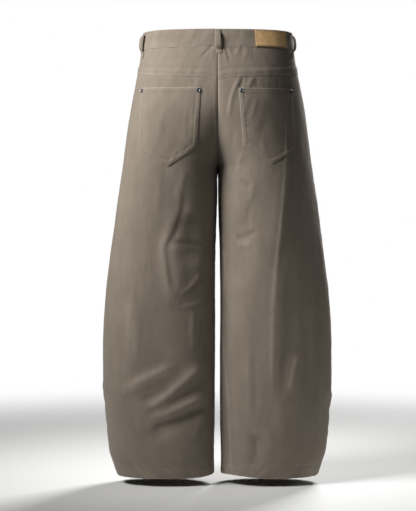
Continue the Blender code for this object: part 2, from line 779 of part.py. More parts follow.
def main():
    """Clear the scene and sew the trousers together."""
    for leftover in list(bpy.data.objects):
        bpy.data.objects.remove(leftover)
    trousers = bpy.data.collections.new("barrel_leg_trousers")
    bpy.context.scene.collection.children.link(trousers)
    for side_name in SIDES:
        back_panel = make_leg_panel(side_name, BACK, trousers)
        make_leg_panel(side_name, FRONT, trousers)
        make_yoke(side_name, trousers)
        make_pocket(side_name, back_panel, trousers)
    make_waistband(trousers)
    for name, place in LOOPS.items():
        make_belt_loop(name, place, trousers)
    make_patch(trousers)
    make_rivets(trousers)
    make_fly_shield(trousers)
    make_button(trousers)


main()
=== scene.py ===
"""Looks of the barrel leg trousers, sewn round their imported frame.

Metres, +Z up. The back of the trousers faces -Y, their front +Y, and the wearer's right is +X.
Heights in the tables are measured up from the hem. The tables of the worn form repeat those of
the part's source, because every piece here lies on the same form as its solid.
"""

import logging
import math
from dataclasses import dataclass, field
from enum import Enum
from typing import NamedTuple, Optional, Sequence, Union

import bpy
import numpy as np
from mathutils import Matrix, Vector


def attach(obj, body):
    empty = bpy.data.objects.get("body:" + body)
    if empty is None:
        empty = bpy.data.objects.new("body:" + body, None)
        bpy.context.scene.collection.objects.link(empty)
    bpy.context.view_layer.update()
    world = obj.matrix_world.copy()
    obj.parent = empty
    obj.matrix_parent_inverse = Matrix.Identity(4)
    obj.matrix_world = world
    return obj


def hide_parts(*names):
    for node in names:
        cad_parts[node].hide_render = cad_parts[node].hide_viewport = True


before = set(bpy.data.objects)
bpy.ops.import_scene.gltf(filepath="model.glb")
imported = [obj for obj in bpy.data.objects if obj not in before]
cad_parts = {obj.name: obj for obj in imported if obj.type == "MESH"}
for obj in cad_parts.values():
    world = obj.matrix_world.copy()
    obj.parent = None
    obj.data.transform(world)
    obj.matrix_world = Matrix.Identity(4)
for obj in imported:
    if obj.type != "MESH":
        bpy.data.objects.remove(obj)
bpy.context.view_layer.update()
LOG = logging.getLogger("trousers")

Array = np.ndarray
Colour = tuple[float, float, float]
CENTRE_SEAM_HAIR = 0.00001
CENTRE_SEAM_REACH = 0.004


class Side(Enum):
    """The wearer's side that a piece is on; the value is the sign of its x."""

    LEFT = -1
    RIGHT = 1


class Face(Enum):
    """The face of the trousers that a place is on."""

    BACK = 1
    FRONT = -1
    OUTSEAM = 0


class Section(NamedTuple):
    """One level cut through a leg: its reach in each direction and how square it is."""

    height: float
    half_width: float
    centre: float
    inner: float
    back: float
    front: float
    side: float
    square: float
    corner_left: float
    corner_right: float


SECTIONS = (
    Section(0.000, 0.2260, 0.1140, 0.0080, -0.0900, 0.0620, -0.012, 2.15, 2.15, 1.95),
    Section(0.022, 0.2335, 0.1160, 0.0082, -0.0925, 0.0650, -0.012, 2.20, 2.20, 1.92),
    Section(0.055, 0.2440, 0.1180, 0.0080, -0.0960, 0.0690, -0.012, 2.25, 2.30, 1.86),
    Section(0.123, 0.2510, 0.1200, 0.0062, -0.1000, 0.0740, -0.012, 2.25, 2.35, 1.78),
    Section(0.200, 0.2570, 0.1210, 0.0058, -0.1030, 0.0790, -0.012, 2.25, 2.40, 1.72),
    Section(0.290, 0.2565, 0.1200, 0.0056, -0.1060, 0.0850, -0.011, 2.25, 2.45, 1.68),
    Section(0.395, 0.2510, 0.1180, 0.0056, -0.1100, 0.0920, -0.010, 2.25, 2.50, 1.66),
    Section(0.505, 0.2385, 0.1140, 0.0046, -0.1165, 0.0990, -0.010, 2.25, 2.50, 1.66),
    Section(0.610, 0.2250, 0.1090, 0.0018, -0.1280, 0.1050, -0.010, 2.30, 2.55, 1.70),
    Section(0.690, 0.2125, 0.1030, 0.0003, -0.1390, 0.1090, -0.010, 2.30, 2.65, 1.74),
    Section(0.715, 0.2090, 0.0960, -0.0103, -0.1420, 0.1100, -0.010, 2.30, 2.70, 1.75),
    Section(0.760, 0.2030, 0.0750, -0.0366, -0.1475, 0.1110, -0.010, 2.30, 2.80, 1.78),
    Section(0.820, 0.1940, 0.0450, -0.0720, -0.1515, 0.1110, -0.010, 2.30, 2.90, 1.86),
    Section(0.880, 0.1830, 0.0200, -0.1150, -0.1450, 0.1090, -0.010, 2.30, 2.80, 2.02),
    Section(0.930, 0.1735, 0.0060, -0.1500, -0.1300, 0.1040, -0.008, 2.32, 2.50, 2.25),
    Section(0.965, 0.1700, 0.0000, -0.1700, -0.1190, 0.1010, -0.006, 2.35, 2.35, 2.35),
    Section(1.005, 0.1650, 0.0000, -0.1650, -0.1120, 0.0980, -0.005, 2.35, 2.35, 2.35),
)


class Fold(NamedTuple):
    """A large soft fold: a ridge between two places, or a trough if its depth is negative."""

    side: Side
    face: Face
    from_x: float
    from_height: float
    to_x: float
    to_height: float
    depth: float
    width: float


FOLDS = (
    Fold(Side.LEFT, Face.BACK, 0.010, 0.265, 0.150, 0.150, 0.0055, 0.017),
    Fold(Side.LEFT, Face.BACK, 0.085, 0.250, 0.225, 0.190, 0.0045, 0.016),
    Fold(Side.LEFT, Face.BACK, 0.015, 0.190, 0.135, 0.128, 0.0050, 0.015),
    Fold(Side.LEFT, Face.BACK, 0.020, 0.158, 0.170, 0.090, -0.0045, 0.015),
    Fold(Side.LEFT, Face.BACK, 0.110, 0.560, 0.092, 0.370, 0.0050, 0.022),
    Fold(Side.LEFT, Face.BACK, 0.060, 0.600, 0.050, 0.470, -0.0060, 0.026),
    Fold(Side.LEFT, Face.BACK, 0.195, 0.420, 0.178, 0.240, 0.0040, 0.020),
    Fold(Side.RIGHT, Face.BACK, 0.150, 0.760, 0.132, 0.470, 0.0050, 0.022),
    Fold(Side.RIGHT, Face.BACK, 0.136, 0.520, 0.120, 0.180, 0.0055, 0.022),
    Fold(Side.RIGHT, Face.BACK, 0.178, 0.290, 0.168, 0.175, 0.0040, 0.018),
    Fold(Side.RIGHT, Face.BACK, 0.086, 0.110, 0.080, 0.020, -0.0040, 0.015),
    Fold(Side.RIGHT, Face.BACK, 0.060, 0.620, 0.045, 0.420, -0.0045, 0.024),
    Fold(Side.LEFT, Face.FRONT, 0.020, 0.660, 0.140, 0.540, 0.0050, 0.020),
    Fold(Side.RIGHT, Face.FRONT, 0.020, 0.665, 0.150, 0.560, 0.0050, 0.020),
    Fold(Side.LEFT, Face.FRONT, 0.130, 0.480, 0.120, 0.220, 0.0050, 0.024),
    Fold(Side.RIGHT, Face.FRONT, 0.125, 0.500, 0.128, 0.200, 0.0050, 0.024),
    Fold(Side.LEFT, Face.FRONT, 0.030, 0.170, 0.180, 0.110, 0.0045, 0.018),
    Fold(Side.RIGHT, Face.FRONT, 0.200, 0.180, 0.060, 0.125, 0.0045, 0.018),
)


class SeamMark(NamedTuple):
    """A place along a seam: where it is, and how high or how far round the seam runs there."""

    at: float
    value: float


YOKE_SEAM = (
    SeamMark(0.000, 0.8785),
    SeamMark(0.028, 0.8860),
    SeamMark(0.090, 0.8890),
    SeamMark(0.150, 0.8930),
    SeamMark(0.190, 0.8990),
)

INSEAM_TWIST = {
    Side.LEFT: (
        SeamMark(0.000, -0.20),
        SeamMark(0.350, -0.16),
        SeamMark(0.600, -0.06),
        SeamMark(0.690, 0.00),
    ),
    Side.RIGHT: (
        SeamMark(0.000, 0.70),
        SeamMark(0.180, 0.60),
        SeamMark(0.340, 0.38),
        SeamMark(0.470, 0.50),
        SeamMark(0.600, 0.26),
        SeamMark(0.690, 0.00),
    ),
}


class Crease(NamedTuple):
    """A crease laid along a given path: a sharp-backed ridge, or a trough if its depth is negative.

    On the back, the path holds places read off the photograph, in its pixels, across and
    down. The front and the sides aren't shown, so their creases are made up to match: on the
    front the path holds (x, height) places, and on the outseam face (arc, height) places, where
    arc is the way round from the outseam, positive to the back.
    """

    side: Side
    face: Face
    path: tuple[tuple[float, float], ...]
    depth: float
    width: float
    lean: float = 0.0


CREASES = (
    # Left leg, back: the slanting folds where the leg swells, and the hollow behind the knee
    Crease(Side.LEFT, Face.BACK, ((206, 396), (189, 404), (166, 414), (146, 420)),
           0.0034, 0.0080, 0.35),
    Crease(Side.LEFT, Face.BACK, ((207, 407), (195, 413), (166, 424), (148, 432)), -0.0034, 0.0070),
    Crease(Side.LEFT, Face.BACK, ((201, 364), (181, 384), (157, 404), (140, 412)),
           0.0034, 0.0090, 0.30),
    Crease(Side.LEFT, Face.BACK, ((203, 386), (184, 396), (166, 405)), -0.0020, 0.0060),
    Crease(Side.LEFT, Face.BACK, ((173, 364), (150, 376), (130, 386)), 0.0030, 0.0090, 0.30),
    Crease(Side.LEFT, Face.BACK, ((173, 386), (154, 397), (138, 402)), -0.0025, 0.0080),
    Crease(Side.LEFT, Face.BACK, ((205, 414), (198, 428), (190, 443)), 0.0024, 0.0120),
    Crease(Side.LEFT, Face.BACK, ((186, 186), (179, 226), (167, 244),
                                  (167, 254), (172, 286), (177, 303)),
           -0.0030, 0.0080, -0.30),
    Crease(Side.LEFT, Face.BACK, ((176, 205), (163, 244), (162, 262), (168, 300)), 0.0024, 0.0120),
    Crease(Side.LEFT, Face.BACK, ((207, 246), (190, 243), (169, 242)), -0.0024, 0.0060),
    Crease(Side.LEFT, Face.BACK, ((202, 272), (190, 287), (179, 296)), 0.0022, 0.0060),
    Crease(Side.LEFT, Face.BACK, ((204, 300), (192, 306), (178, 307)), 0.0018, 0.0050),
    Crease(Side.LEFT, Face.BACK, ((193, 308), (192, 330), (192, 352)), 0.0020, 0.0070),
    Crease(Side.LEFT, Face.BACK, ((202, 316), (200, 350)), -0.0016, 0.0060),
    Crease(Side.LEFT, Face.BACK, ((138, 272), (136, 309)), -0.0010, 0.0050),
    Crease(Side.LEFT, Face.BACK, ((131, 296), (127, 360)), 0.0010, 0.0060),
    Crease(Side.LEFT, Face.BACK, ((143, 318), (138, 366)), -0.0009, 0.0050),
    Crease(Side.LEFT, Face.BACK, ((185, 168), (176, 203)), 0.0015, 0.0080),
    Crease(Side.LEFT, Face.BACK, ((160, 172), (156, 215)), 0.0009, 0.0090),
    # Left yoke and seat: drag lines beside the centre loop, puckers over the pocket
    Crease(Side.LEFT, Face.BACK, ((214, 44), (207, 51), (200, 59)), -0.0019, 0.0036),
    Crease(Side.LEFT, Face.BACK, ((212.5, 50), (210.5, 62)), 0.0010, 0.0030),
    Crease(Side.LEFT, Face.BACK, ((178.5, 45), (177, 60)), -0.0008, 0.0030),
    Crease(Side.LEFT, Face.BACK, ((184, 44), (189, 56)), -0.0005, 0.0030),
    Crease(Side.LEFT, Face.BACK, ((163, 50), (161, 62)), 0.0005, 0.0040),
    Crease(Side.LEFT, Face.BACK, ((192, 76), (194, 87)), -0.0013, 0.0034),
    Crease(Side.LEFT, Face.BACK, ((148, 77), (149, 88)), -0.0010, 0.0034),
    Crease(Side.LEFT, Face.BACK, ((177, 78), (174, 84)), -0.0006, 0.0030),
    Crease(Side.LEFT, Face.BACK, ((156, 77), (155, 88)), 0.0006, 0.0040),
    Crease(Side.LEFT, Face.BACK, ((205, 84), (207, 100)), 0.0006, 0.0035),
    Crease(Side.LEFT, Face.BACK, ((190, 104), (188, 140)), -0.0008, 0.0050),
    Crease(Side.LEFT, Face.BACK, ((165, 104), (157, 145)), 0.0009, 0.0090),
    Crease(Side.LEFT, Face.BACK, ((176, 150), (170, 162)), 0.0007, 0.0050),
    # Right leg, yoke and seat, back: puckers over the pocket, the long upright fold, slack below
    Crease(Side.RIGHT, Face.BACK, ((240.5, 76.5), (234, 87), (229.5, 102), (228, 120)),
           0.0023, 0.0046, 0.20),
    Crease(Side.RIGHT, Face.BACK, ((243, 76.5), (238.5, 91)), -0.0022, 0.0038),
    Crease(Side.RIGHT, Face.BACK, ((253.5, 76.5), (247, 89)), 0.0017, 0.0044),
    Crease(Side.RIGHT, Face.BACK, ((248, 77), (244.5, 84)), -0.0007, 0.0032),
    Crease(Side.RIGHT, Face.BACK, ((257, 77), (256, 88)), -0.0008, 0.0030),
    Crease(Side.RIGHT, Face.BACK, ((279, 77.5), (278, 88)), -0.0006, 0.0030),
    Crease(Side.RIGHT, Face.BACK, ((286, 78), (285.5, 88)), -0.0006, 0.0030),
    Crease(Side.RIGHT, Face.BACK, ((268, 78), (267, 88)), 0.0005, 0.0040),
    Crease(Side.RIGHT, Face.BACK, ((287, 92), (285, 148), (282.5, 191), (279, 242),
                                  (273.6, 286), (271, 336), (272, 393), (271, 420)),
           0.0021, 0.0055, 0.25),
    Crease(Side.RIGHT, Face.BACK, ((239, 180), (244, 183), (250, 187)), -0.0022, 0.0070),
    Crease(Side.RIGHT, Face.BACK, ((233, 239), (244, 237), (258, 230)), -0.0026, 0.0060, 0.20),
    Crease(Side.RIGHT, Face.BACK, ((235, 245), (244, 245), (254, 242)), 0.0020, 0.0080),
    Crease(Side.RIGHT, Face.BACK, ((242, 152), (236, 173)), 0.0018, 0.0060),
    Crease(Side.RIGHT, Face.BACK, ((248, 207), (246, 224)), -0.0013, 0.0060),
    Crease(Side.RIGHT, Face.BACK, ((253, 179), (249, 203)), 0.0014, 0.0070),
    Crease(Side.RIGHT, Face.BACK, ((233, 130), (231, 150)), -0.0008, 0.0050),
    Crease(Side.RIGHT, Face.BACK, ((298, 353), (293, 370), (289.6, 392)), 0.0017, 0.0060, 0.20),
    Crease(Side.RIGHT, Face.BACK, ((285, 348), (281, 402)), -0.0011, 0.0080),
    Crease(Side.RIGHT, Face.BACK, ((254.5, 440), (257, 459)), -0.0017, 0.0040),
    Crease(Side.RIGHT, Face.BACK, ((247, 345), (247, 425)), 0.0009, 0.0070),
    Crease(Side.RIGHT, Face.BACK, ((254, 345), (253, 425)), -0.0013, 0.0080),
    Crease(Side.RIGHT, Face.BACK, ((265, 425), (272, 452)), 0.0011, 0.0080),
    Crease(Side.RIGHT, Face.BACK, ((314, 262), (313, 330), (309, 412)), 0.0015, 0.0100),
    Crease(Side.RIGHT, Face.BACK, ((304, 280), (303, 345)), -0.0009, 0.0090),
    Crease(Side.RIGHT, Face.BACK, ((225, 46), (227, 54), (230.5, 62)), -0.0018, 0.0032),
    Crease(Side.RIGHT, Face.BACK, ((223.3, 50), (226.5, 63)), 0.0009, 0.0030),
    Crease(Side.RIGHT, Face.BACK, ((239.5, 45), (235, 57)), 0.0008, 0.0032),
    Crease(Side.RIGHT, Face.BACK, ((242.5, 45), (241, 57)), -0.0011, 0.0034),
    Crease(Side.RIGHT, Face.BACK, ((248, 49), (243, 61)), 0.0008, 0.0034),
    Crease(Side.RIGHT, Face.BACK, ((232, 48), (233, 54)), -0.0011, 0.0045),
    Crease(Side.RIGHT, Face.BACK, ((253.5, 47), (252, 60)), -0.0005, 0.0030),
    Crease(Side.RIGHT, Face.BACK, ((247, 98), (243, 116)), 0.0009, 0.0040),
    Crease(Side.RIGHT, Face.BACK, ((256, 98), (249, 122)), 0.0008, 0.0050),
    Crease(Side.RIGHT, Face.BACK, ((262, 120), (256, 150)), -0.0008, 0.0080),
    Crease(Side.RIGHT, Face.BACK, ((262, 140), (265, 158)), 0.0007, 0.0050),
    # Left leg, front: drag lines from the fork and the hip, slack at the knee and hem
    Crease(Side.LEFT, Face.FRONT, ((0.020, 0.716), (0.055, 0.738), (0.105, 0.752)), 0.0026, 0.0075, 0.3),
    Crease(Side.LEFT, Face.FRONT, ((0.024, 0.698), (0.070, 0.708), (0.125, 0.712)), -0.0020, 0.0070),
    Crease(Side.LEFT, Face.FRONT, ((0.022, 0.662), (0.080, 0.640), (0.140, 0.590)), 0.0028, 0.0090, 0.3),
    Crease(Side.LEFT, Face.FRONT, ((0.030, 0.625), (0.080, 0.590), (0.120, 0.540)), -0.0024, 0.0080),
    Crease(Side.LEFT, Face.FRONT, ((0.150, 0.790), (0.128, 0.745), (0.118, 0.700)), 0.0016, 0.0090),
    Crease(Side.LEFT, Face.FRONT, ((0.045, 0.905), (0.040, 0.860), (0.030, 0.800)), 0.0009, 0.0060),
    Crease(Side.LEFT, Face.FRONT, ((0.040, 0.455), (0.095, 0.440), (0.150, 0.452)), 0.0022, 0.0085, 0.3),
    Crease(Side.LEFT, Face.FRONT, ((0.050, 0.425), (0.110, 0.405), (0.170, 0.420)), -0.0022, 0.0080),
    Crease(Side.LEFT, Face.FRONT, ((0.150, 0.400), (0.165, 0.330), (0.160, 0.250)), 0.0016, 0.0100),
    Crease(Side.LEFT, Face.FRONT, ((0.065, 0.360), (0.058, 0.290), (0.066, 0.220)), 0.0015, 0.0085),
    Crease(Side.LEFT, Face.FRONT, ((0.030, 0.205), (0.090, 0.185), (0.160, 0.198)), 0.0026, 0.0090, 0.3),
    Crease(Side.LEFT, Face.FRONT, ((0.040, 0.170), (0.110, 0.148), (0.190, 0.165)), -0.0026, 0.0085),
    Crease(Side.LEFT, Face.FRONT, ((0.060, 0.120), (0.120, 0.105), (0.175, 0.112)), 0.0018, 0.0090),
    Crease(Side.LEFT, Face.FRONT, ((0.100, 0.080), (0.108, 0.035)), -0.0014, 0.0060),
    # Right leg, front
    Crease(Side.RIGHT, Face.FRONT, ((0.020, 0.722), (0.060, 0.742), (0.098, 0.748)), 0.0024, 0.0070, 0.3),
    Crease(Side.RIGHT, Face.FRONT, ((0.022, 0.704), (0.080, 0.716), (0.130, 0.724)), -0.0022, 0.0075),
    Crease(Side.RIGHT, Face.FRONT, ((0.024, 0.655), (0.075, 0.625), (0.150, 0.600)), 0.0028, 0.0090, 0.3),
    Crease(Side.RIGHT, Face.FRONT, ((0.028, 0.618), (0.090, 0.590), (0.140, 0.560)), -0.0022, 0.0080),
    Crease(Side.RIGHT, Face.FRONT, ((0.142, 0.800), (0.132, 0.740), (0.136, 0.690)), 0.0016, 0.0090),
    Crease(Side.RIGHT, Face.FRONT, ((0.060, 0.895), (0.050, 0.850)), -0.0008, 0.0060),
    Crease(Side.RIGHT, Face.FRONT, ((0.050, 0.470), (0.100, 0.448), (0.165, 0.440)), 0.0022, 0.0085, 0.3),
    Crease(Side.RIGHT, Face.FRONT, ((0.040, 0.430), (0.090, 0.412), (0.150, 0.405)), -0.0022, 0.0080),
    Crease(Side.RIGHT, Face.FRONT, ((0.140, 0.380), (0.152, 0.310), (0.150, 0.230)), 0.0016, 0.0100),
    Crease(Side.RIGHT, Face.FRONT, ((0.075, 0.370), (0.068, 0.280)), 0.0014, 0.0090),
    Crease(Side.RIGHT, Face.FRONT, ((0.040, 0.190), (0.110, 0.175), (0.180, 0.200)), 0.0024, 0.0090, 0.3),
    Crease(Side.RIGHT, Face.FRONT, ((0.060, 0.150), (0.130, 0.138), (0.205, 0.160)), -0.0026, 0.0085),
    Crease(Side.RIGHT, Face.FRONT, ((0.050, 0.105), (0.110, 0.092), (0.150, 0.098)), 0.0016, 0.0090),
    # Down both outseams: soft slack where the barrel turns in again above the hem
    Crease(Side.LEFT, Face.OUTSEAM, ((-0.050, 0.175), (0.000, 0.160), (0.045, 0.172)), -0.0026, 0.0100),
    Crease(Side.LEFT, Face.OUTSEAM, ((-0.045, 0.208), (0.005, 0.198), (0.050, 0.206)), 0.0022, 0.0095),
    Crease(Side.LEFT, Face.OUTSEAM, ((-0.030, 0.118), (0.010, 0.110), (0.050, 0.122)), -0.0016, 0.0080),
    Crease(Side.LEFT, Face.OUTSEAM, ((-0.040, 0.520), (-0.010, 0.480), (0.000, 0.420)), 0.0014, 0.0100),
    Crease(Side.LEFT, Face.OUTSEAM, ((-0.020, 0.700), (-0.015, 0.620)), -0.0012, 0.0100),
    Crease(Side.RIGHT, Face.OUTSEAM, ((-0.055, 0.190), (0.000, 0.176), (0.050, 0.185)), 0.0022, 0.0095),
    Crease(Side.RIGHT, Face.OUTSEAM, ((-0.050, 0.155), (0.000, 0.142), (0.045, 0.150)), -0.0026, 0.0095),
    Crease(Side.RIGHT, Face.OUTSEAM, ((-0.040, 0.100), (0.000, 0.092), (0.035, 0.100)), 0.0014, 0.0080),
    Crease(Side.RIGHT, Face.OUTSEAM, ((0.030, 0.560), (0.022, 0.480), (0.028, 0.400)), 0.0014, 0.0100),
    Crease(Side.RIGHT, Face.OUTSEAM, ((-0.030, 0.680), (-0.020, 0.600)), -0.0012, 0.0100),
)


@dataclass(frozen=True)
class PhotoScale:
    """How a place in the photograph becomes a place on the trousers."""

    pixel: float = 0.00225
    centre_across: float = 217.5
    hem_down: float = 474.5
    camera_away: float = 4.5
    camera_height: float = 0.66
    cloth_depth: float = 0.006

    def places(self, path: Array, back_of: "SmoothLine") -> Array:
        """Give where photographed places lie on the back.

        Args:
            path: Rows of pixels, across and down.
            back_of: How far back the form reaches, by height.

        Returns:
            Rows of distance from the centre plane and height above the hem.
        """
        rise = (self.hem_down - path[:, 1]) * self.pixel
        height, nearer = rise, 1.0
        for _ in range(5):
            nearer = self.camera_away / (self.camera_away + back_of(height) + self.cloth_depth)
            height = self.camera_height + (rise - self.camera_height) / nearer
        x = (path[:, 0] - self.centre_across) * self.pixel / nearer
        return np.stack([np.abs(x), height], axis=1)


class PocketCut(NamedTuple):
    """A patch pocket as cut, and how far its inner edge stands from the centre plane."""

    top_height: float
    top_width: float
    foot_width: float
    side_drop: float
    tip_drop: float
    from_centre: float
    slant: float


class LoopPlace(NamedTuple):
    """Where a belt loop is sewn: its side, its face, its distance from the centre, its tail."""

    side: Side
    face: Face
    x: float
    tail: float


class LoopMark(NamedTuple):
    """A place along a belt loop's inner face: above the waist seam, and out from the form."""

    rise: float
    proud: float


def ease(low: float, high: float, value: Array) -> Array:
    """Rise smoothly from 0 to 1.

    Args:
        low: Where it is 0.
        high: Where it is 1; below low, the rise becomes a fall.
        value: Where to look.

    Returns:
        The share at each value.
    """
    part = np.clip((value - low) / (high - low), 0.0, 1.0)
    return part * part * (3.0 - 2.0 * part)


def bump_at(distance: Array, place: float, reach: float) -> Array:
    """Give a soft bump of height 1 at one distance.

    Args:
        distance: Distances from an edge.
        place: The distance of the bump's crest.
        reach: How far the bump reaches to each side.

    Returns:
        The bump's height at each distance.
    """
    return np.exp(-((distance - place) / reach) ** 2)


def graded(length: float, coarse: float, fine: float, marks: Sequence[float],
           reach: float) -> Array:
    """Space grid lines over a length, closer together near some marks.

    Args:
        length: The whole length.
        coarse: The widest spacing.
        fine: The spacing at a mark.
        marks: Distances along the length that need fine lines.
        reach: How far a mark's fine lines reach.

    Returns:
        Shares of the length, from 0 to 1.
    """
    along = np.linspace(0.0, length, 4001)
    density = np.full_like(along, 1.0 / coarse)
    for mark in marks:
        density = np.maximum(density, bump_at(along, mark, reach) / fine)
    steps = 0.5 * (density[1:] + density[:-1]) * np.diff(along)
    total = np.concatenate([[0.0], np.cumsum(steps)])
    count = int(math.ceil(total[-1]))
    return np.interp(np.linspace(0.0, total[-1], count + 1), total, along) / length


class SmoothLine:
    """A smooth line through the rows of a table that never overshoots between two rows."""

    def __init__(self, places: Sequence[float], values: Sequence[float]) -> None:
        """Fit the line.

        Args:
            places: Rising places.
            values: The value at each place.
        """
        self.places = np.array(places, dtype=float)
        self.values = np.array(values, dtype=float)
        gaps = np.diff(self.places)
        rises = np.diff(self.values) / gaps
        slopes = np.zeros(len(self.places))
        for row in range(1, len(self.places) - 1):
            before = rises[row - 1]
            after = rises[row]
            if before * after > 0.0:
                weight = (gaps[row] + 2.0 * gaps[row - 1]) / (3.0 * (gaps[row] + gaps[row - 1]))
                slopes[row] = before * after / (weight * after + (1.0 - weight) * before)
        slopes[0] = rises[0]
        slopes[-1] = rises[-1]
        self.slopes = slopes

    def __call__(self, where: Array) -> Array:
        """Read the line.

        Args:
            where: Places to read it at.

        Returns:
            The line's value at each.
        """
        where = np.asarray(where, dtype=float)
        row = np.clip(np.searchsorted(self.places, where) - 1, 0, len(self.places) - 2)
        gap = self.places[row + 1] - self.places[row]
        part = (where - self.places[row]) / gap
        square = part * part
        cube = square * part
        return (
            self.values[row] * (2.0 * cube - 3.0 * square + 1.0)
            + self.slopes[row] * gap * (cube - 2.0 * square + part)
            + self.values[row + 1] * (3.0 * square - 2.0 * cube)
            + self.slopes[row + 1] * gap * (cube - square)
        )


def column_of(table: Sequence[NamedTuple], name: str) -> SmoothLine:
    """Make the smooth line of one named column of a table, by its first column.

    Args:
        table: The table's rows.
        name: The column.

    Returns:
        The line through it.
    """
    return SmoothLine([row[0] for row in table], [getattr(row, name) for row in table])


@dataclass(frozen=True)
class SoftNoise:
    """Smooth seeded unevenness between -1 and 1."""

    seed: int
    cells: int = 97

    def __call__(self, across: Array, up: Array) -> Array:
        """Read the unevenness.

        Args:
            across: Places across, one cell wide each.
            up: Places up, one cell high each.

        Returns:
            The value at each place.
        """
        table = np.random.RandomState(self.seed).uniform(-1.0, 1.0, (self.cells, self.cells))
        across, up = np.broadcast_arrays(np.asarray(across, float), np.asarray(up, float))
        left = np.floor(across).astype(int)
        low = np.floor(up).astype(int)
        part_across = ease(0.0, 1.0, across - left)
        part_up = ease(0.0, 1.0, up - low)
        corners = [[table[(left + i) % self.cells, (low + j) % self.cells] for i in (0, 1)]
                   for j in (0, 1)]
        bottom = corners[0][0] * (1.0 - part_across) + corners[0][1] * part_across
        top = corners[1][0] * (1.0 - part_across) + corners[1][1] * part_across
        return bottom * (1.0 - part_up) + top * part_up


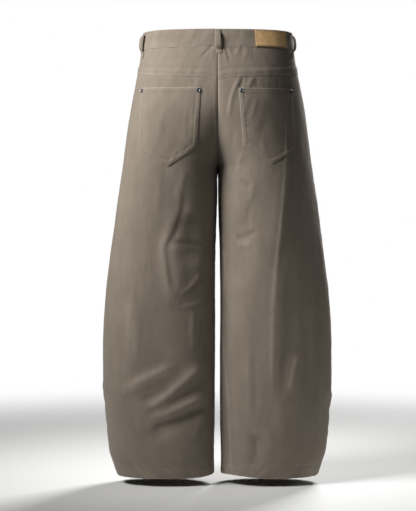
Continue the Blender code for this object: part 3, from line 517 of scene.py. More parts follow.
@dataclass(frozen=True)
class WornForm:
    """The worn shape that every piece lies on, the same as the solids' own.

    The solids stand 0.3 mm apart at their seams. Here the seams are sewn shut, all but a hair.
    """

    waist_height: float = 0.967
    fork_height: float = 0.690
    seam_gap: float = 0.00002
    waist_side_height: float = 0.9470
    waist_tilt: float = 0.0115
    waist_dip: float = 0.0055
    hem_lift: float = 0.006
    step: float = 1e-4
    columns: dict[str, SmoothLine] = field(
        default_factory=lambda: {name: column_of(SECTIONS, name) for name in Section._fields[1:]})
    yoke_line: SmoothLine = field(default_factory=lambda: column_of(YOKE_SEAM, "value"))
    twist_lines: dict[Side, SmoothLine] = field(
        default_factory=lambda: {side: column_of(rows, "value") for side, rows in INSEAM_TWIST.items()})

    def reach(self, side: Side, turn: Array, height: Array) -> tuple[Array, Array]:
        """Give how far out a section reaches, as shares of its half sizes.

        Args:
            side: The leg.
            turn: Angle from the inseam: positive round the back, negative round the front.
            height: Height above the hem.

        Returns:
            The shares toward the inseam and toward the back.
        """
        cosine = np.cos(turn)
        sine = np.sin(turn)
        corner = self.columns["corner_left" if side is Side.LEFT else "corner_right"](height)
        square = np.where((cosine < 0.0) & (sine > 0.0), corner, self.columns["square"](height))
        length = (np.abs(cosine) ** square + np.abs(sine) ** square) ** (-1.0 / square)
        return length * cosine, length * sine

    def point(self, side: Side, turn: Array, height: Array) -> Array:
        """Give points on the bare form.

        Args:
            side: The leg.
            turn: Angle from the inseam.
            height: Height above the hem.

        Returns:
            The points, their coordinates last.
        """
        toward_inseam, toward_back = self.reach(side, turn, height)
        centre = self.columns["centre"](height)
        middle = self.columns["side"](height)
        across = np.where(toward_inseam >= 0.0, centre - self.columns["inner"](height),
                          self.columns["half_width"](height) - centre)
        deep = np.where(toward_back >= 0.0, middle - self.columns["back"](height),
                        self.columns["front"](height) - middle)
        return np.stack([side.value * (centre - across * toward_inseam),
                         middle - deep * toward_back,
                         height - self.waist_height + 0.0 * toward_inseam], axis=-1)

    def normal(self, side: Side, turn: Array, height: Array) -> Array:
        """Give the outward direction of the bare form.

        Args:
            side: The leg.
            turn: Angle from the inseam.
            height: Height above the hem.

        Returns:
            Unit vectors.
        """
        step = self.step
        around = self.point(side, turn + step, height) - self.point(side, turn - step, height)
        upward = self.point(side, turn, height + step) - self.point(side, turn, height - step)
        outward = side.value * np.cross(around, upward)
        return outward / np.linalg.norm(outward, axis=-1, keepdims=True)

    def fold_rise(self, side: Side, turn: Array, height: Array) -> Array:
        """Give how far the large folds lift the cloth off the bare form.

        Args:
            side: The leg.
            turn: Angle from the inseam.
            height: Height above the hem.

        Returns:
            The lift in metres.
        """
        toward_back = self.reach(side, turn, height)[1]
        x = side.value * self.point(side, turn, height)[..., 0]
        rise = np.zeros_like(x)
        for fold in FOLDS:
            if fold.side is not side:
                continue
            run_x = fold.to_x - fold.from_x
            run_height = fold.to_height - fold.from_height
            along = ((x - fold.from_x) * run_x + (height - fold.from_height) * run_height)
            along = np.clip(along / (run_x ** 2 + run_height ** 2), 0.0, 1.0)
            away = np.hypot(x - fold.from_x - along * run_x,
                            height - fold.from_height - along * run_height)
            ends = ease(0.0, 0.3, along) * ease(0.0, 0.3, 1.0 - along)
            facing = ease(0.05, 0.45, fold.face.value * toward_back)
            rise += fold.depth * np.exp(-(away / fold.width) ** 2) * ends * facing
        return rise * ease(0.0, 0.025, x)

    def centre_turn(self, height: Array, from_centre: float) -> Array:
        """Give the turn at which the form stands some way off the centre plane.

        Args:
            height: Height above the hem.
            from_centre: Distance from the centre plane.

        Returns:
            The turn, positive.
        """
        centre = self.columns["centre"](height)
        square = self.columns["square"](height)
        share = (centre - from_centre) / (centre - self.columns["inner"](height))
        share = np.clip(share, 0.0, 1.0)
        return np.arctan2((1.0 - share ** square) ** (1.0 / square), share)

    def turn_at_x(self, side: Side, face: Face, x: Array, height: Array) -> Array:
        """Find the turn at which a face of the form stands x off the centre plane.

        Args:
            side: The leg.
            face: Back or front.
            x: Distance from the centre plane.
            height: Height above the hem.

        Returns:
            The turn.
        """
        x, height = np.broadcast_arrays(np.asarray(x, float), np.asarray(height, float))
        low = np.zeros_like(x)
        high = np.full_like(x, math.pi)
        for _ in range(36):
            middle = 0.5 * (low + high)
            here = side.value * self.point(side, face.value * middle, height)[..., 0]
            short = here < x
            low = np.where(short, middle, low)
            high = np.where(short, high, middle)
        return face.value * 0.5 * (low + high)

    def inner_edge(self, side: Side, face: Face, height: Array) -> Array:
        """Give a leg panel's inner edge: the inseam, and above the fork the centre seam.

        Args:
            side: The leg.
            face: Back or front.
            height: Height above the hem.

        Returns:
            The turn of the edge.
        """
        middle = self.columns["side"](height)
        deep = middle - self.columns["back"](height)
        if face is Face.FRONT:
            deep = self.columns["front"](height) - middle
        margin = 0.5 * self.seam_gap / deep
        cut = self.centre_turn(height, 0.5 * self.seam_gap)
        twist = np.where(height < self.fork_height, self.twist_lines[side](height), 0.0)
        return np.where(cut > margin, face.value * cut, twist + face.value * margin)

    def panel_turn(self, side: Side, face: Face, share: Array, height: Array) -> Array:
        """Give the turn a share of the way from a panel's inner edge to its outseam.

        Args:
            side: The leg.
            face: Back or front.
            share: 0 at the inner edge, 1 at the outseam.
            height: Height above the hem.

        Returns:
            The turn.
        """
        start = self.inner_edge(side, face, height)
        deep = self.columns["side"](height) - self.columns["back"](height)
        end = face.value * (math.pi - 0.5 * self.seam_gap / deep)
        return start + (end - start) * share

    def waist_seam(self, side: Side, turn: Array) -> Array:
        """Give the height of the seam under the waistband, lowest at the centre front.

        Args:
            side: The leg.
            turn: Angle from the inseam.

        Returns:
            The seam's height above the hem.
        """
        level = np.full_like(turn, self.waist_side_height)
        toward_back = self.reach(side, turn, level)[1]
        return self.waist_side_height + self.waist_tilt * toward_back - self.waist_dip * toward_back ** 2

    def seam_along(self, side: Side, face: Face, share: Array, at_waist: bool) -> Array:
        """Settle a slanting seam's height at each share of a panel's width.

        Args:
            side: The leg.
            face: Back or front.
            share: Shares from the inner edge to the outseam.
            at_waist: True for the waist seam, False for the yoke seam.

        Returns:
            The seam's height at each share.
        """
        height = np.full_like(share, self.waist_side_height if at_waist else YOKE_SEAM[-1].value)
        for _ in range(6):
            turn = self.panel_turn(side, face, share, height)
            if at_waist:
                height = self.waist_seam(side, turn)
            else:
                height = self.yoke_line(np.abs(self.point(side, turn, height)[..., 0]))
        return height

    def hem(self, share: Array) -> Array:
        """Give the hem's height: it rides up a little at the inseam."""
        return self.hem_lift * (1.0 - ease(0.0, 0.4, share))


@dataclass
class ClothSurface:
    """The worn form with its folds, creases and unevenness: what the cloth does everywhere."""

    form: WornForm = field(default_factory=WornForm)
    turns: int = 721
    levels: int = 202
    top: float = 1.005
    foot_of_crease: float = 0.30
    crease_share: float = 0.62
    photo: PhotoScale = PhotoScale()
    broad: SoftNoise = SoftNoise(11)
    middling: SoftNoise = SoftNoise(23)
    small: SoftNoise = SoftNoise(37)
    tables: dict[Side, Array] = field(default_factory=dict)
    tracks: dict[Side, list[tuple[Crease, Array]]] = field(default_factory=dict)

    def __post_init__(self) -> None:
        """Measure the way round each leg, and lay every crease out on it."""
        turn = np.linspace(-math.pi, math.pi, self.turns)
        height = np.linspace(0.0, self.top, self.levels)
        for side in Side:
            points = self.form.point(side, turn[None, :], height[:, None])
            lengths = np.linalg.norm(np.diff(points, axis=1), axis=2)
            start = np.zeros((self.levels, 1))
            self.tables[side] = np.concatenate([start, np.cumsum(lengths, axis=1)], axis=1)
            self.tracks[side] = []
        for crease in CREASES:
            self.tracks[crease.side].append((crease, self.track_of(crease)))

    def way_round(self, side: Side, turn: Array, height: Array) -> Array:
        """Read the length round the leg from the outseam, by way of the front.

        Args:
            side: The leg.
            turn: Angle from the inseam.
            height: Height above the hem.

        Returns:
            The length in metres.
        """
        turn, height = np.broadcast_arrays(np.asarray(turn, float), np.asarray(height, float))
        column = np.clip((turn + math.pi) / (2.0 * math.pi) * (self.turns - 1), 0, self.turns - 1.001)
        row = np.clip(height / self.top * (self.levels - 1), 0, self.levels - 1.001)
        left = column.astype(int)
        low = row.astype(int)
        part_column = column - left
        part_row = row - low
        table = self.tables[side]
        bottom = table[low, left] * (1.0 - part_column) + table[low, left + 1] * part_column
        top = table[low + 1, left] * (1.0 - part_column) + table[low + 1, left + 1] * part_column
        return bottom * (1.0 - part_row) + top * part_row

    def arc(self, side: Side, face: Face, turn: Array, height: Array) -> Array:
        """Give the way from the outseam, positive over the back and negative over the front.

        Args:
            side: The leg.
            face: The face whose panel the place is on.
            turn: Angle from the inseam.
            height: Height above the hem.

        Returns:
            The signed length in metres.
        """
        round_front = self.way_round(side, turn, height)
        if face is Face.FRONT:
            return -round_front
        return self.way_round(side, np.full_like(round_front, math.pi), height) - round_front

    def turn_at_arc(self, side: Side, start: Array, arc: Array, height: Array) -> Array:
        """Find the turn reached by going some way round the back from a starting turn.

        Args:
            side: The leg.
            start: The starting turn.
            arc: How far to go toward the outseam.
            height: Height above the hem.

        Returns:
            The turn.
        """
        wanted = self.way_round(side, start, height) + arc
        low = np.zeros_like(wanted)
        high = np.full_like(wanted, math.pi)
        for _ in range(30):
            middle = 0.5 * (low + high)
            short = self.way_round(side, middle, height) < wanted
            low = np.where(short, middle, low)
            high = np.where(short, high, middle)
        return 0.5 * (low + high)

    def track_of(self, crease: Crease) -> Array:
        """Lay a crease's path out on the cloth, and round off its corners.

        Args:
            crease: The crease.

        Returns:
            Rows of (arc, height).
        """
        path = np.array(crease.path, dtype=float)
        if crease.face is Face.BACK:
            path = self.photo.places(path, self.form.columns["back"])
        if crease.face is not Face.OUTSEAM:
            turn = self.form.turn_at_x(crease.side, crease.face, path[:, 0], path[:, 1])
            path = np.stack([self.arc(crease.side, crease.face, turn, path[:, 1]), path[:, 1]], axis=1)
        for _ in range(2):
            before = 0.75 * path[:-1] + 0.25 * path[1:]
            after = 0.25 * path[:-1] + 0.75 * path[1:]
            corners = np.stack([before, after], axis=1).reshape(-1, 2)
            path = np.concatenate([path[:1], corners[1:-1], path[-1:]])
        return path

    def crease_rise(self, crease: Crease, track: Array, arc: Array, height: Array) -> Array:
        """Give how far one crease lifts the cloth.

        Args:
            crease: The crease.
            track: Its path on the cloth.
            arc: Places round the leg.
            height: Heights of the places.

        Returns:
            The lift in metres.
        """
        lengths = np.linalg.norm(np.diff(track, axis=0), axis=1)
        starts = np.concatenate([[0.0], np.cumsum(lengths)])
        nearest = np.full_like(arc, 1.0)
        along = np.zeros_like(arc)
        hand = np.zeros_like(arc)
        for index, length in enumerate(lengths):
            run = (track[index + 1] - track[index]) / length
            way = (arc - track[index, 0]) * run[0] + (height - track[index, 1]) * run[1]
            way = np.clip(way, 0.0, length)
            off_arc = arc - track[index, 0] - way * run[0]
            off_height = height - track[index, 1] - way * run[1]
            away = np.hypot(off_arc, off_height)
            closer = away < nearest
            nearest = np.where(closer, away, nearest)
            along = np.where(closer, (starts[index] + way) / starts[-1], along)
            hand = np.where(closer, np.sign(off_arc * run[1] - off_height * run[0]), hand)
        width = crease.width * (1.0 + crease.lean * hand)
        foot = self.foot_of_crease
        shape = (1.0 + foot) * np.exp(-(nearest / width) ** 2)
        shape -= foot * np.exp(-(nearest / (2.2 * width)) ** 2)
        ends = ease(0.0, 0.22, along) * ease(0.0, 0.22, 1.0 - along)
        return self.crease_share * crease.depth * shape * ends

    def relief(self, side: Side, face: Face, turn: Array, height: Array,
               from_seam: Union[Array, float] = 1.0) -> Array:
        """Give the fine relief of the worn cloth, without the large folds.

        Args:
            side: The leg.
            face: The face whose panel the place is on.
            turn: Angle from the inseam.
            height: Height above the hem.
            from_seam: Distance from the panel's inner edge, where the relief dies away.

        Returns:
            The relief in metres.
        """
        turn, height = np.broadcast_arrays(np.asarray(turn, float), np.asarray(height, float))
        shape = turn.shape
        turn, height = np.atleast_1d(turn), np.atleast_1d(height)
        arc = self.arc(side, face, turn, height)
        rise = np.zeros_like(arc)
        for crease, track in self.tracks[side]:
            reach = 5.0 * crease.width
            low = track.min(axis=0) - reach
            high = track.max(axis=0) + reach
            near = (arc > low[0]) & (arc < high[0]) & (height > low[1]) & (height < high[1])
            if near.any():
                rise[near] += self.crease_rise(crease, track, arc[near], height[near])
        shift = 7.3 * side.value
        rise += 0.00105 * self.broad(arc / 0.055 + shift, height / 0.120)
        rise += 0.00042 * self.middling(arc / 0.020 + shift, height / 0.046)
        rise += 0.00011 * self.small(arc / 0.0085 + shift, height / 0.012)
        return rise.reshape(shape) * ease(0.0, 0.012, np.asarray(from_seam, float))

    def rise(self, side: Side, face: Face, turn: Array, height: Array,
             from_seam: Union[Array, float] = 1.0) -> Array:
        """Give the whole lift of the cloth off the bare form: large folds and fine relief."""
        return (self.form.fold_rise(side, turn, height)
                + self.relief(side, face, turn, height, from_seam))

    def place(self, side: Side, turn: Array, height: Array, proud: Array) -> Array:
        """Give points some way out from the bare form.

        Args:
            side: The leg.
            turn: Angle from the inseam.
            height: Height above the hem.
            proud: How far out.

        Returns:
            The points.
        """
        turn, height, proud = np.broadcast_arrays(turn, height, proud)
        outward = self.form.normal(side, turn, height)
        return self.form.point(side, turn, height) + outward * proud[..., None]


def softened(values: Array, rounds: int) -> Array:
    """Blur a grid of values by averaging each with its neighbours.

    Args:
        values: The grid.
        rounds: How many times.

    Returns:
        The blurred grid.
    """
    for _ in range(rounds):
        padded = np.pad(values, 1, mode="edge")
        values = 0.5 * padded[1:-1, 1:-1] + 0.125 * (padded[2:, 1:-1] + padded[:-2, 1:-1]
                                                     + padded[1:-1, 2:] + padded[1:-1, :-2])
    return values


def drawn_to_centre(points: Array, side: Side, inner: Array, sewn: Array) -> Array:
    """Draw a piece's inner edge in to the centre plane, where left and right are sewn together.

    Args:
        points: The piece's points, the inner edge in the first column.
        side: The wearer's side that it is on.
        inner: Distances from the inner edge.
        sewn: 1 where the edge is in the centre seam, 0 where it isn't.

    Returns:
        The points, moved near that edge.
    """
    short = side.value * CENTRE_SEAM_HAIR - points[:, :1, 0]
    pulled = points.copy()
    pulled[..., 0] += short * sewn * bump_at(inner, 0.0, CENTRE_SEAM_REACH)
    return pulled


@dataclass
class ClothGrid:
    """A piece of cloth as a grid: its two faces, its lie in the cloth, its wear, and how proud or sunk
    each place is, which paints ridges paler as rubbed wear and paints shade into creases and seam
    grooves.
    """

    outer: Array
    inner: Array
    lie: Array
    wear: Array
    # How proud or sunk each place is: ridges paler as rubbed wear, creases and seam grooves darker as
    # painted shade.
    hollow: Array

    @property
    def outward(self) -> Array:
        """Give the outward direction at every grid point."""
        across = np.gradient(self.outer, axis=1)
        upward = np.gradient(self.outer, axis=0)
        normal = np.cross(across, upward)
        out = self.outer - self.inner
        normal *= np.sign((normal * out).sum(axis=2, keepdims=True))
        return normal / np.maximum(np.linalg.norm(normal, axis=2, keepdims=True), 1e-12)

    def trace(self, measure: Array, value: float, by_row: bool,
              keep: Optional[Array] = None) -> tuple[Array, Array]:
        """Trace the line on the outer face where a measure has one value.

        Args:
            measure: A grid that rises or falls along each row, or along each column.
            value: The value to trace.
            by_row: True to look along each row, False along each column.
            keep: Where given, the line keeps only places where this grid is true.

        Returns:
            The line's points and their outward directions.
        """
        outer, outward = self.outer, self.outward
        kept = np.ones(measure.shape) if keep is None else keep.astype(float)
        if not by_row:
            outer, outward = outer.swapaxes(0, 1), outward.swapaxes(0, 1)
            measure, kept = measure.T, kept.T
        points, ups = [], []
        for row in range(len(measure)):
            ruler = measure[row]
            order = slice(None) if ruler[-1] > ruler[0] else slice(None, None, -1)
            ruler = ruler[order]
            if not ruler[0] <= value <= ruler[-1]:
                continue
            if np.interp(value, ruler, kept[row][order]) < 0.5:
                continue
            points.append([np.interp(value, ruler, outer[row, order, axis]) for axis in range(3)])
            ups.append([np.interp(value, ruler, outward[row, order, axis]) for axis in range(3)])
        return np.array(points), np.array(ups)


class Socket(Enum):
    """The number by which a Mix node's colour sockets are known."""

    FACTOR = 0
    FIRST = 6
    SECOND = 7
    RESULT = 2


Operand = Union["Wire", float]


class Wire:
    """A shader socket that takes part in sums of values."""

    def __init__(self, graph: "ShaderGraph", socket: bpy.types.NodeSocket) -> None:
        """Hold a socket.

        Args:
            graph: The graph that the socket is in.
            socket: An output socket.
        """
        self.graph = graph
        self.socket = socket

    def sum_with(self, operation: str, first: Operand, second: Operand) -> "Wire":
        """Add a Math node and give its result."""
        return self.graph.node("ShaderNodeMath", {"operation": operation}, {0: first, 1: second}, 0)

    def __add__(self, other: Operand) -> "Wire":
        """Add."""
        return self.sum_with("ADD", self, other)

    def __radd__(self, other: Operand) -> "Wire":
        """Add to a number."""
        return self.sum_with("ADD", other, self)

    def __sub__(self, other: Operand) -> "Wire":
        """Subtract."""
        return self.sum_with("SUBTRACT", self, other)

    def __rsub__(self, other: Operand) -> "Wire":
        """Subtract from a number."""
        return self.sum_with("SUBTRACT", other, self)

    def __mul__(self, other: Operand) -> "Wire":
        """Multiply."""
        return self.sum_with("MULTIPLY", self, other)

    def __rmul__(self, other: Operand) -> "Wire":
        """Multiply a number."""
        return self.sum_with("MULTIPLY", other, self)


SocketValue = Union[Wire, float, tuple]


class ShaderGraph:
    """The nodes of one material or world."""

    def __init__(self, owner: Union[bpy.types.Material, bpy.types.World]) -> None:
        """Start an empty graph.

        Args:
            owner: The material or world that the nodes are in.
        """
        owner.use_nodes = True
        self.tree = owner.node_tree
        self.tree.nodes.clear()

    def node(self, kind: str, settings: dict[str, object],
             sockets: dict[Union[str, int], SocketValue], output: Union[str, int] = 0) -> Wire:
        """Add a node.

        Args:
            kind: The node's type.
            settings: Its settings; "stops" holds a ramp's (place, colour) pairs.
            sockets: Values or wires for its input sockets, by name or number.
            output: The output socket to give back.

        Returns:
            The wire of that output.
        """
        node = self.tree.nodes.new(kind)
        for name, value in settings.items():
            if name == "stops":
                ramp = node.color_ramp.elements
                while len(ramp) < len(value):
                    ramp.new(0.5)
                for stop, (place, colour) in zip(ramp, value):
                    stop.position = place
                    stop.color = (*colour, 1.0)
            else:
                setattr(node, name, value)
        for name, value in sockets.items():
            socket = node.inputs[name]
            if isinstance(value, Wire):
                self.tree.links.new(value.socket, socket)
            elif isinstance(value, tuple) and len(value) == 3 and socket.type == "RGBA":
                socket.default_value = (*value, 1.0)
            else:
                socket.default_value = value
        if not len(node.outputs):
            return Wire(self, None)
        return Wire(self, node.outputs[output])

    def attribute(self, name: str, output: str) -> Wire:
        """Read an attribute that the mesh carries."""
        return self.node("ShaderNodeAttribute", {"attribute_name": name}, {}, output)

    def scaled(self, vector: Wire, scale: Colour) -> Wire:
        """Stretch a vector by a factor for each axis."""
        return self.node("ShaderNodeVectorMath", {"operation": "MULTIPLY"}, {0: vector, 1: scale}, 0)

    def noise(self, vector: Wire, detail: float = 2.0, roughness: float = 0.5) -> Wire:
        """Add a Noise Texture of scale 1 and give its value, mostly between 0.3 and 0.7."""
        sockets = {"Vector": vector, "Scale": 1.0, "Detail": detail, "Roughness": roughness}
        return self.node("ShaderNodeTexNoise", {}, sockets, 0)

    def bands(self, vector: Wire, angle: float, pitch: float, distortion: float) -> Wire:
        """Add straight bands across a vector.

        Args:
            vector: Where to look, in metres.
            angle: The bands' slant in radians.
            pitch: The distance from band to band in metres.
            distortion: How uneven they are.

        Returns:
            The bands' value, from 0 to 1.
        """
        turned = self.node("ShaderNodeMapping", {}, {"Vector": vector, "Rotation": (0.0, 0.0, angle)})
        sockets = {"Vector": turned, "Scale": 2.0 * math.pi / 20.0 / pitch,
                   "Distortion": distortion, "Detail": 1.0, "Detail Scale": 1.5}
        return self.node("ShaderNodeTexWave", {}, sockets, 1)

    def mixed(self, factor: SocketValue, first: SocketValue, second: SocketValue,
              blend: str = "MIX") -> Wire:
        """Mix two colours."""
        sockets = {Socket.FACTOR.value: factor, Socket.FIRST.value: first, Socket.SECOND.value: second}
        return self.node("ShaderNodeMix", {"data_type": "RGBA", "blend_type": blend}, sockets,
                         Socket.RESULT.value)

    def principled(self, sockets: dict[Union[str, int], SocketValue]) -> None:
        """Add the surface shader and the material's output."""
        shader = self.node("ShaderNodeBsdfPrincipled", {}, sockets, 0)
        self.node("ShaderNodeOutputMaterial", {}, {"Surface": shader})

    def relief(self, height: Wire, strength: float, distance: float) -> Wire:
        """Add a Bump node over a height."""
        sockets = {"Height": height, "Strength": strength, "Distance": distance}
        return self.node("ShaderNodeBump", {}, sockets, 0)


@dataclass(frozen=True)
class TwillFinish:
    """Garment-washed cotton twill: diagonal wale, slubs, rubbed seams and ridges, and painted shade
    darkening creases and seam grooves.
    """

    name: str = "washed_twill"
    deep: Colour = (0.118, 0.094, 0.071)
    body: Colour = (0.205, 0.169, 0.131)
    rubbed: Colour = (0.330, 0.282, 0.228)
    wale: float = 0.00115
    slant: float = 0.62
    roughness: float = 0.90

    def material(self) -> bpy.types.Material:
        """Make the material."""
        material = bpy.data.materials.new(self.name)
        graph = ShaderGraph(material)
        lie = graph.attribute("lie", "Vector")
        wear = graph.attribute("wear", "Fac")
        # Ridge and crease measure: ridges paler as rubbed wear, creases and grooves darker as painted
        # shade.
        hollow = graph.attribute("hollow", "Fac")
        cloudy = graph.noise(graph.scaled(lie, (14.0, 9.0, 1.0)), 3.0)
        washed = graph.noise(graph.scaled(lie, (70.0, 26.0, 1.0)), 3.0, 0.6)
        streaks = graph.noise(graph.scaled(lie, (620.0, 22.0, 1.0)), 2.0, 0.6)
        heather = graph.noise(graph.scaled(lie, (900.0, 900.0, 1.0)), 2.0, 0.7)
        slubs = graph.noise(graph.scaled(lie, (1500.0, 190.0, 1.0)), 1.0)
        picks = graph.noise(graph.scaled(lie, (230.0, 1700.0, 1.0)), 1.0)
        wale = graph.bands(lie, self.slant, self.wale, 0.9)
        rubbing = wear * (0.45 + 1.1 * graph.noise(graph.scaled(lie, (260.0, 260.0, 1.0)), 2.0))
        # The last term of the tone is painted shade in creases and grooves, and rubbed wear on ridges.
        tone = (0.5 + 0.26 * (cloudy - 0.5) + 0.24 * (washed - 0.5) + 0.22 * (streaks - 0.5)
                + 0.46 * (heather - 0.5) + 0.16 * (wale - 0.5) + 0.16 * (slubs - 0.5)
                + 0.42 * rubbing + 0.16 * hollow)
        stops = [(0.0, self.deep), (0.5, self.body), (1.0, self.rubbed)]
        colour = graph.node("ShaderNodeValToRGB", {"stops": stops}, {0: tone})
        thread = 0.55 * wale + 0.30 * slubs + 0.22 * picks
        graph.principled({
            "Base Color": colour,
            "Roughness": self.roughness - 0.10 * wear + 0.06 * (heather - 0.5),
            "Sheen Weight": 0.10,
            "Sheen Roughness": 0.55,
            "Specular IOR Level": 0.25,
            "Normal": graph.relief(thread, 0.42, 0.00045),
        })
        return material


@dataclass(frozen=True)
class ThreadFinish:
    """Tonal spun sewing thread."""

    name: str = "tonal_thread"
    dark: Colour = (0.165, 0.135, 0.104)
    light: Colour = (0.300, 0.252, 0.198)

    def material(self) -> bpy.types.Material:
        """Make the material."""
        material = bpy.data.materials.new(self.name)
        graph = ShaderGraph(material)
        place = graph.node("ShaderNodeTexCoord", {}, {}, "Object")
        fuzz = graph.noise(graph.scaled(place, (900.0, 900.0, 900.0)), 2.0)
        fade = graph.noise(graph.scaled(place, (60.0, 60.0, 60.0)), 2.0)
        plies = graph.bands(place, 0.8, 0.0006, 0.3)
        graph.principled({
            "Base Color": graph.mixed(0.35 * fuzz + 0.65 * fade, self.dark, self.light),
            "Roughness": 0.62 + 0.2 * fuzz,
            "Sheen Weight": 0.15,
            "Normal": graph.relief(plies, 0.35, 0.0001),
        })
        return material


@dataclass(frozen=True)
class LeatherFinish:
    """Plain tan leather with pebbled grain and darkened edges."""

    name: str = "tan_leather"
    pale: Colour = (0.780, 0.500, 0.240)
    tan: Colour = (0.640, 0.400, 0.180)
    dark: Colour = (0.150, 0.080, 0.035)

    def material(self) -> bpy.types.Material:
        """Make the material."""
        material = bpy.data.materials.new(self.name)
        graph = ShaderGraph(material)
        lie = graph.attribute("lie", "Vector")
        wear = graph.attribute("wear", "Fac")
        patina = graph.noise(graph.scaled(lie, (120.0, 160.0, 1.0)), 3.0, 0.6)
        sockets = {"Vector": graph.scaled(lie, (1100.0, 1100.0, 1.0)), "Scale": 1.0}
        pebbles = graph.node("ShaderNodeTexVoronoi", {"feature": "DISTANCE_TO_EDGE"}, sockets, 0)
        pores = graph.noise(graph.scaled(lie, (2600.0, 2600.0, 1.0)), 2.0)
        stops = [(0.30, self.tan), (0.70, self.pale)]
        face = graph.node("ShaderNodeValToRGB", {"stops": stops}, {0: patina + 0.12 * (pores - 0.5)})
        graph.principled({
            "Base Color": graph.mixed(0.75 * wear, face, self.dark),
            "Roughness": 0.50 + 0.22 * patina,
            "Specular IOR Level": 0.4,
            "Normal": graph.relief(0.8 * pebbles + 0.3 * pores, 0.32, 0.0004),
        })
        return material


@dataclass(frozen=True)
class GunmetalFinish:
    """Dark bluish metal, a little brushed, brighter where it is rubbed."""

    name: str = "dark_gunmetal"
    body: Colour = (0.060, 0.066, 0.080)
    bright: Colour = (0.210, 0.220, 0.245)

    def material(self) -> bpy.types.Material:
        """Make the material."""
        material = bpy.data.materials.new(self.name)
        graph = ShaderGraph(material)
        wear = graph.attribute("wear", "Fac")
        place = graph.node("ShaderNodeTexCoord", {}, {}, "Object")
        tarnish = graph.noise(graph.scaled(place, (480.0, 480.0, 480.0)), 3.0, 0.6)
        graph.principled({
            "Base Color": graph.mixed(wear * (0.35 + tarnish), self.body, self.bright),
            "Metallic": 1.0,
            "Roughness": 0.30 + 0.26 * tarnish,
            "Normal": graph.relief(tarnish, 0.12, 0.0002),
        })
        return material


@dataclass(frozen=True)
class FloorFinish:
    """Plain pale studio floor that fades out round the trousers."""

    name: str = "pale_floor"
    tone: Colour = (0.80, 0.80, 0.79)
    solid_to: float = 0.7
    gone_at: float = 2.1

    def material(self) -> bpy.types.Material:
        """Make the material."""
        material = bpy.data.materials.new(self.name)
        graph = ShaderGraph(material)
        place = graph.node("ShaderNodeTexCoord", {}, {}, "Object")
        far = graph.node("ShaderNodeVectorMath", {"operation": "LENGTH"}, {0: place}, "Value")
        settings = {"interpolation_type": "SMOOTHSTEP"}
        sockets = {"Value": far, "From Min": self.solid_to, "From Max": self.gone_at}
        faded = graph.node("ShaderNodeMapRange", settings, sockets, 0)
        graph.principled({"Base Color": self.tone, "Roughness": 0.85, "Alpha": 1.0 - faded})
        return material


@dataclass
class Wardrobe:
    """The finishes as made materials, by the piece's kind."""

    twill: bpy.types.Material
    thread: bpy.types.Material
    leather: bpy.types.Material
    gunmetal: bpy.types.Material


class MeshKit:
    """Makes objects from grids and lists of points."""

    @staticmethod
    def piece(name: str, points: Array, faces: list[tuple[int, ...]], material: bpy.types.Material,
              sharp: float = 40.0) -> bpy.types.Object:
        """Make a smooth object from points and faces.

        Args:
            name: The object's name.
            points: Its points.
            faces: Its faces, as numbers of points.
            material: Its material.
            sharp: Edges over this angle in degrees stay sharp.

        Returns:
            The object, in the scene.
        """
        mesh = bpy.data.meshes.new(name)
        mesh.from_pydata(points.tolist(), [], faces)
        mesh.materials.append(material)
        mesh.shade_smooth()
        mesh.set_sharp_from_angle(angle=math.radians(sharp))
        made = bpy.data.objects.new(name, mesh)
        bpy.context.scene.collection.objects.link(made)
        return made

    @staticmethod
    def carry(made: bpy.types.Object, name: str, values: Array) -> None:
        """Give an object's points an attribute.

        Args:
            made: The object.
            name: The attribute's name.
            values: A number or a vector for each point.
        """
        kind, key = ("FLOAT_VECTOR", "vector") if values.ndim == 2 else ("FLOAT", "value")
        attribute = made.data.attributes.new(name, kind, "POINT")
        attribute.data.foreach_set(key, values.astype(np.float32).ravel())

    @staticmethod
    def cloth(name: str, grid: ClothGrid, material: bpy.types.Material) -> bpy.types.Object:
        """Close a grid's two faces into one thin sheet.

        Args:
            name: The object's name.
            grid: The sheet's grid.
            material: Its material.

        Returns:
            The object.
        """
        rows, columns = grid.outer.shape[:2]
        index = np.arange(rows * columns).reshape(rows, columns)
        quads = np.stack([index[:-1, :-1], index[:-1, 1:], index[1:, 1:], index[1:, :-1]], axis=-1)
        quads = quads.reshape(-1, 4)
        out = (grid.outer - grid.inner)[rows // 2, columns // 2]
        corner = grid.outer[rows // 2, columns // 2]
        across = grid.outer[rows // 2, columns // 2 + 1] - corner
        upward = grid.outer[rows // 2 + 1, columns // 2] - corner
        faces_out = float(np.cross(across, upward) @ out) > 0.0
        rim = np.concatenate([index[0, :-1], index[:-1, -1], index[-1, :0:-1], index[:0:-1, 0]])
        after = np.roll(rim, -1)
        shift = rows * columns
        edge = np.stack([rim, rim + shift, after + shift, after], axis=-1)
        if faces_out:
            faces = np.concatenate([quads, quads[:, ::-1] + shift, edge])
        else:
            faces = np.concatenate([quads[:, ::-1], quads + shift, edge[:, ::-1]])
        points = np.concatenate([grid.outer.reshape(-1, 3), grid.inner.reshape(-1, 3)])
        made = MeshKit.piece(name, points, faces.tolist(), material)
        MeshKit.carry(made, "lie", np.tile(grid.lie.reshape(-1, 3), (2, 1)))
        MeshKit.carry(made, "wear", np.concatenate([grid.wear.ravel(), 0.3 * grid.wear.ravel()]))
        # The outer face carries the ridge and crease measure for painted crease shade and ridge wear; the
        # inner face carries none.
        MeshKit.carry(made, "hollow", np.concatenate([grid.hollow.ravel(), 0.0 * grid.hollow.ravel()]))
        return made


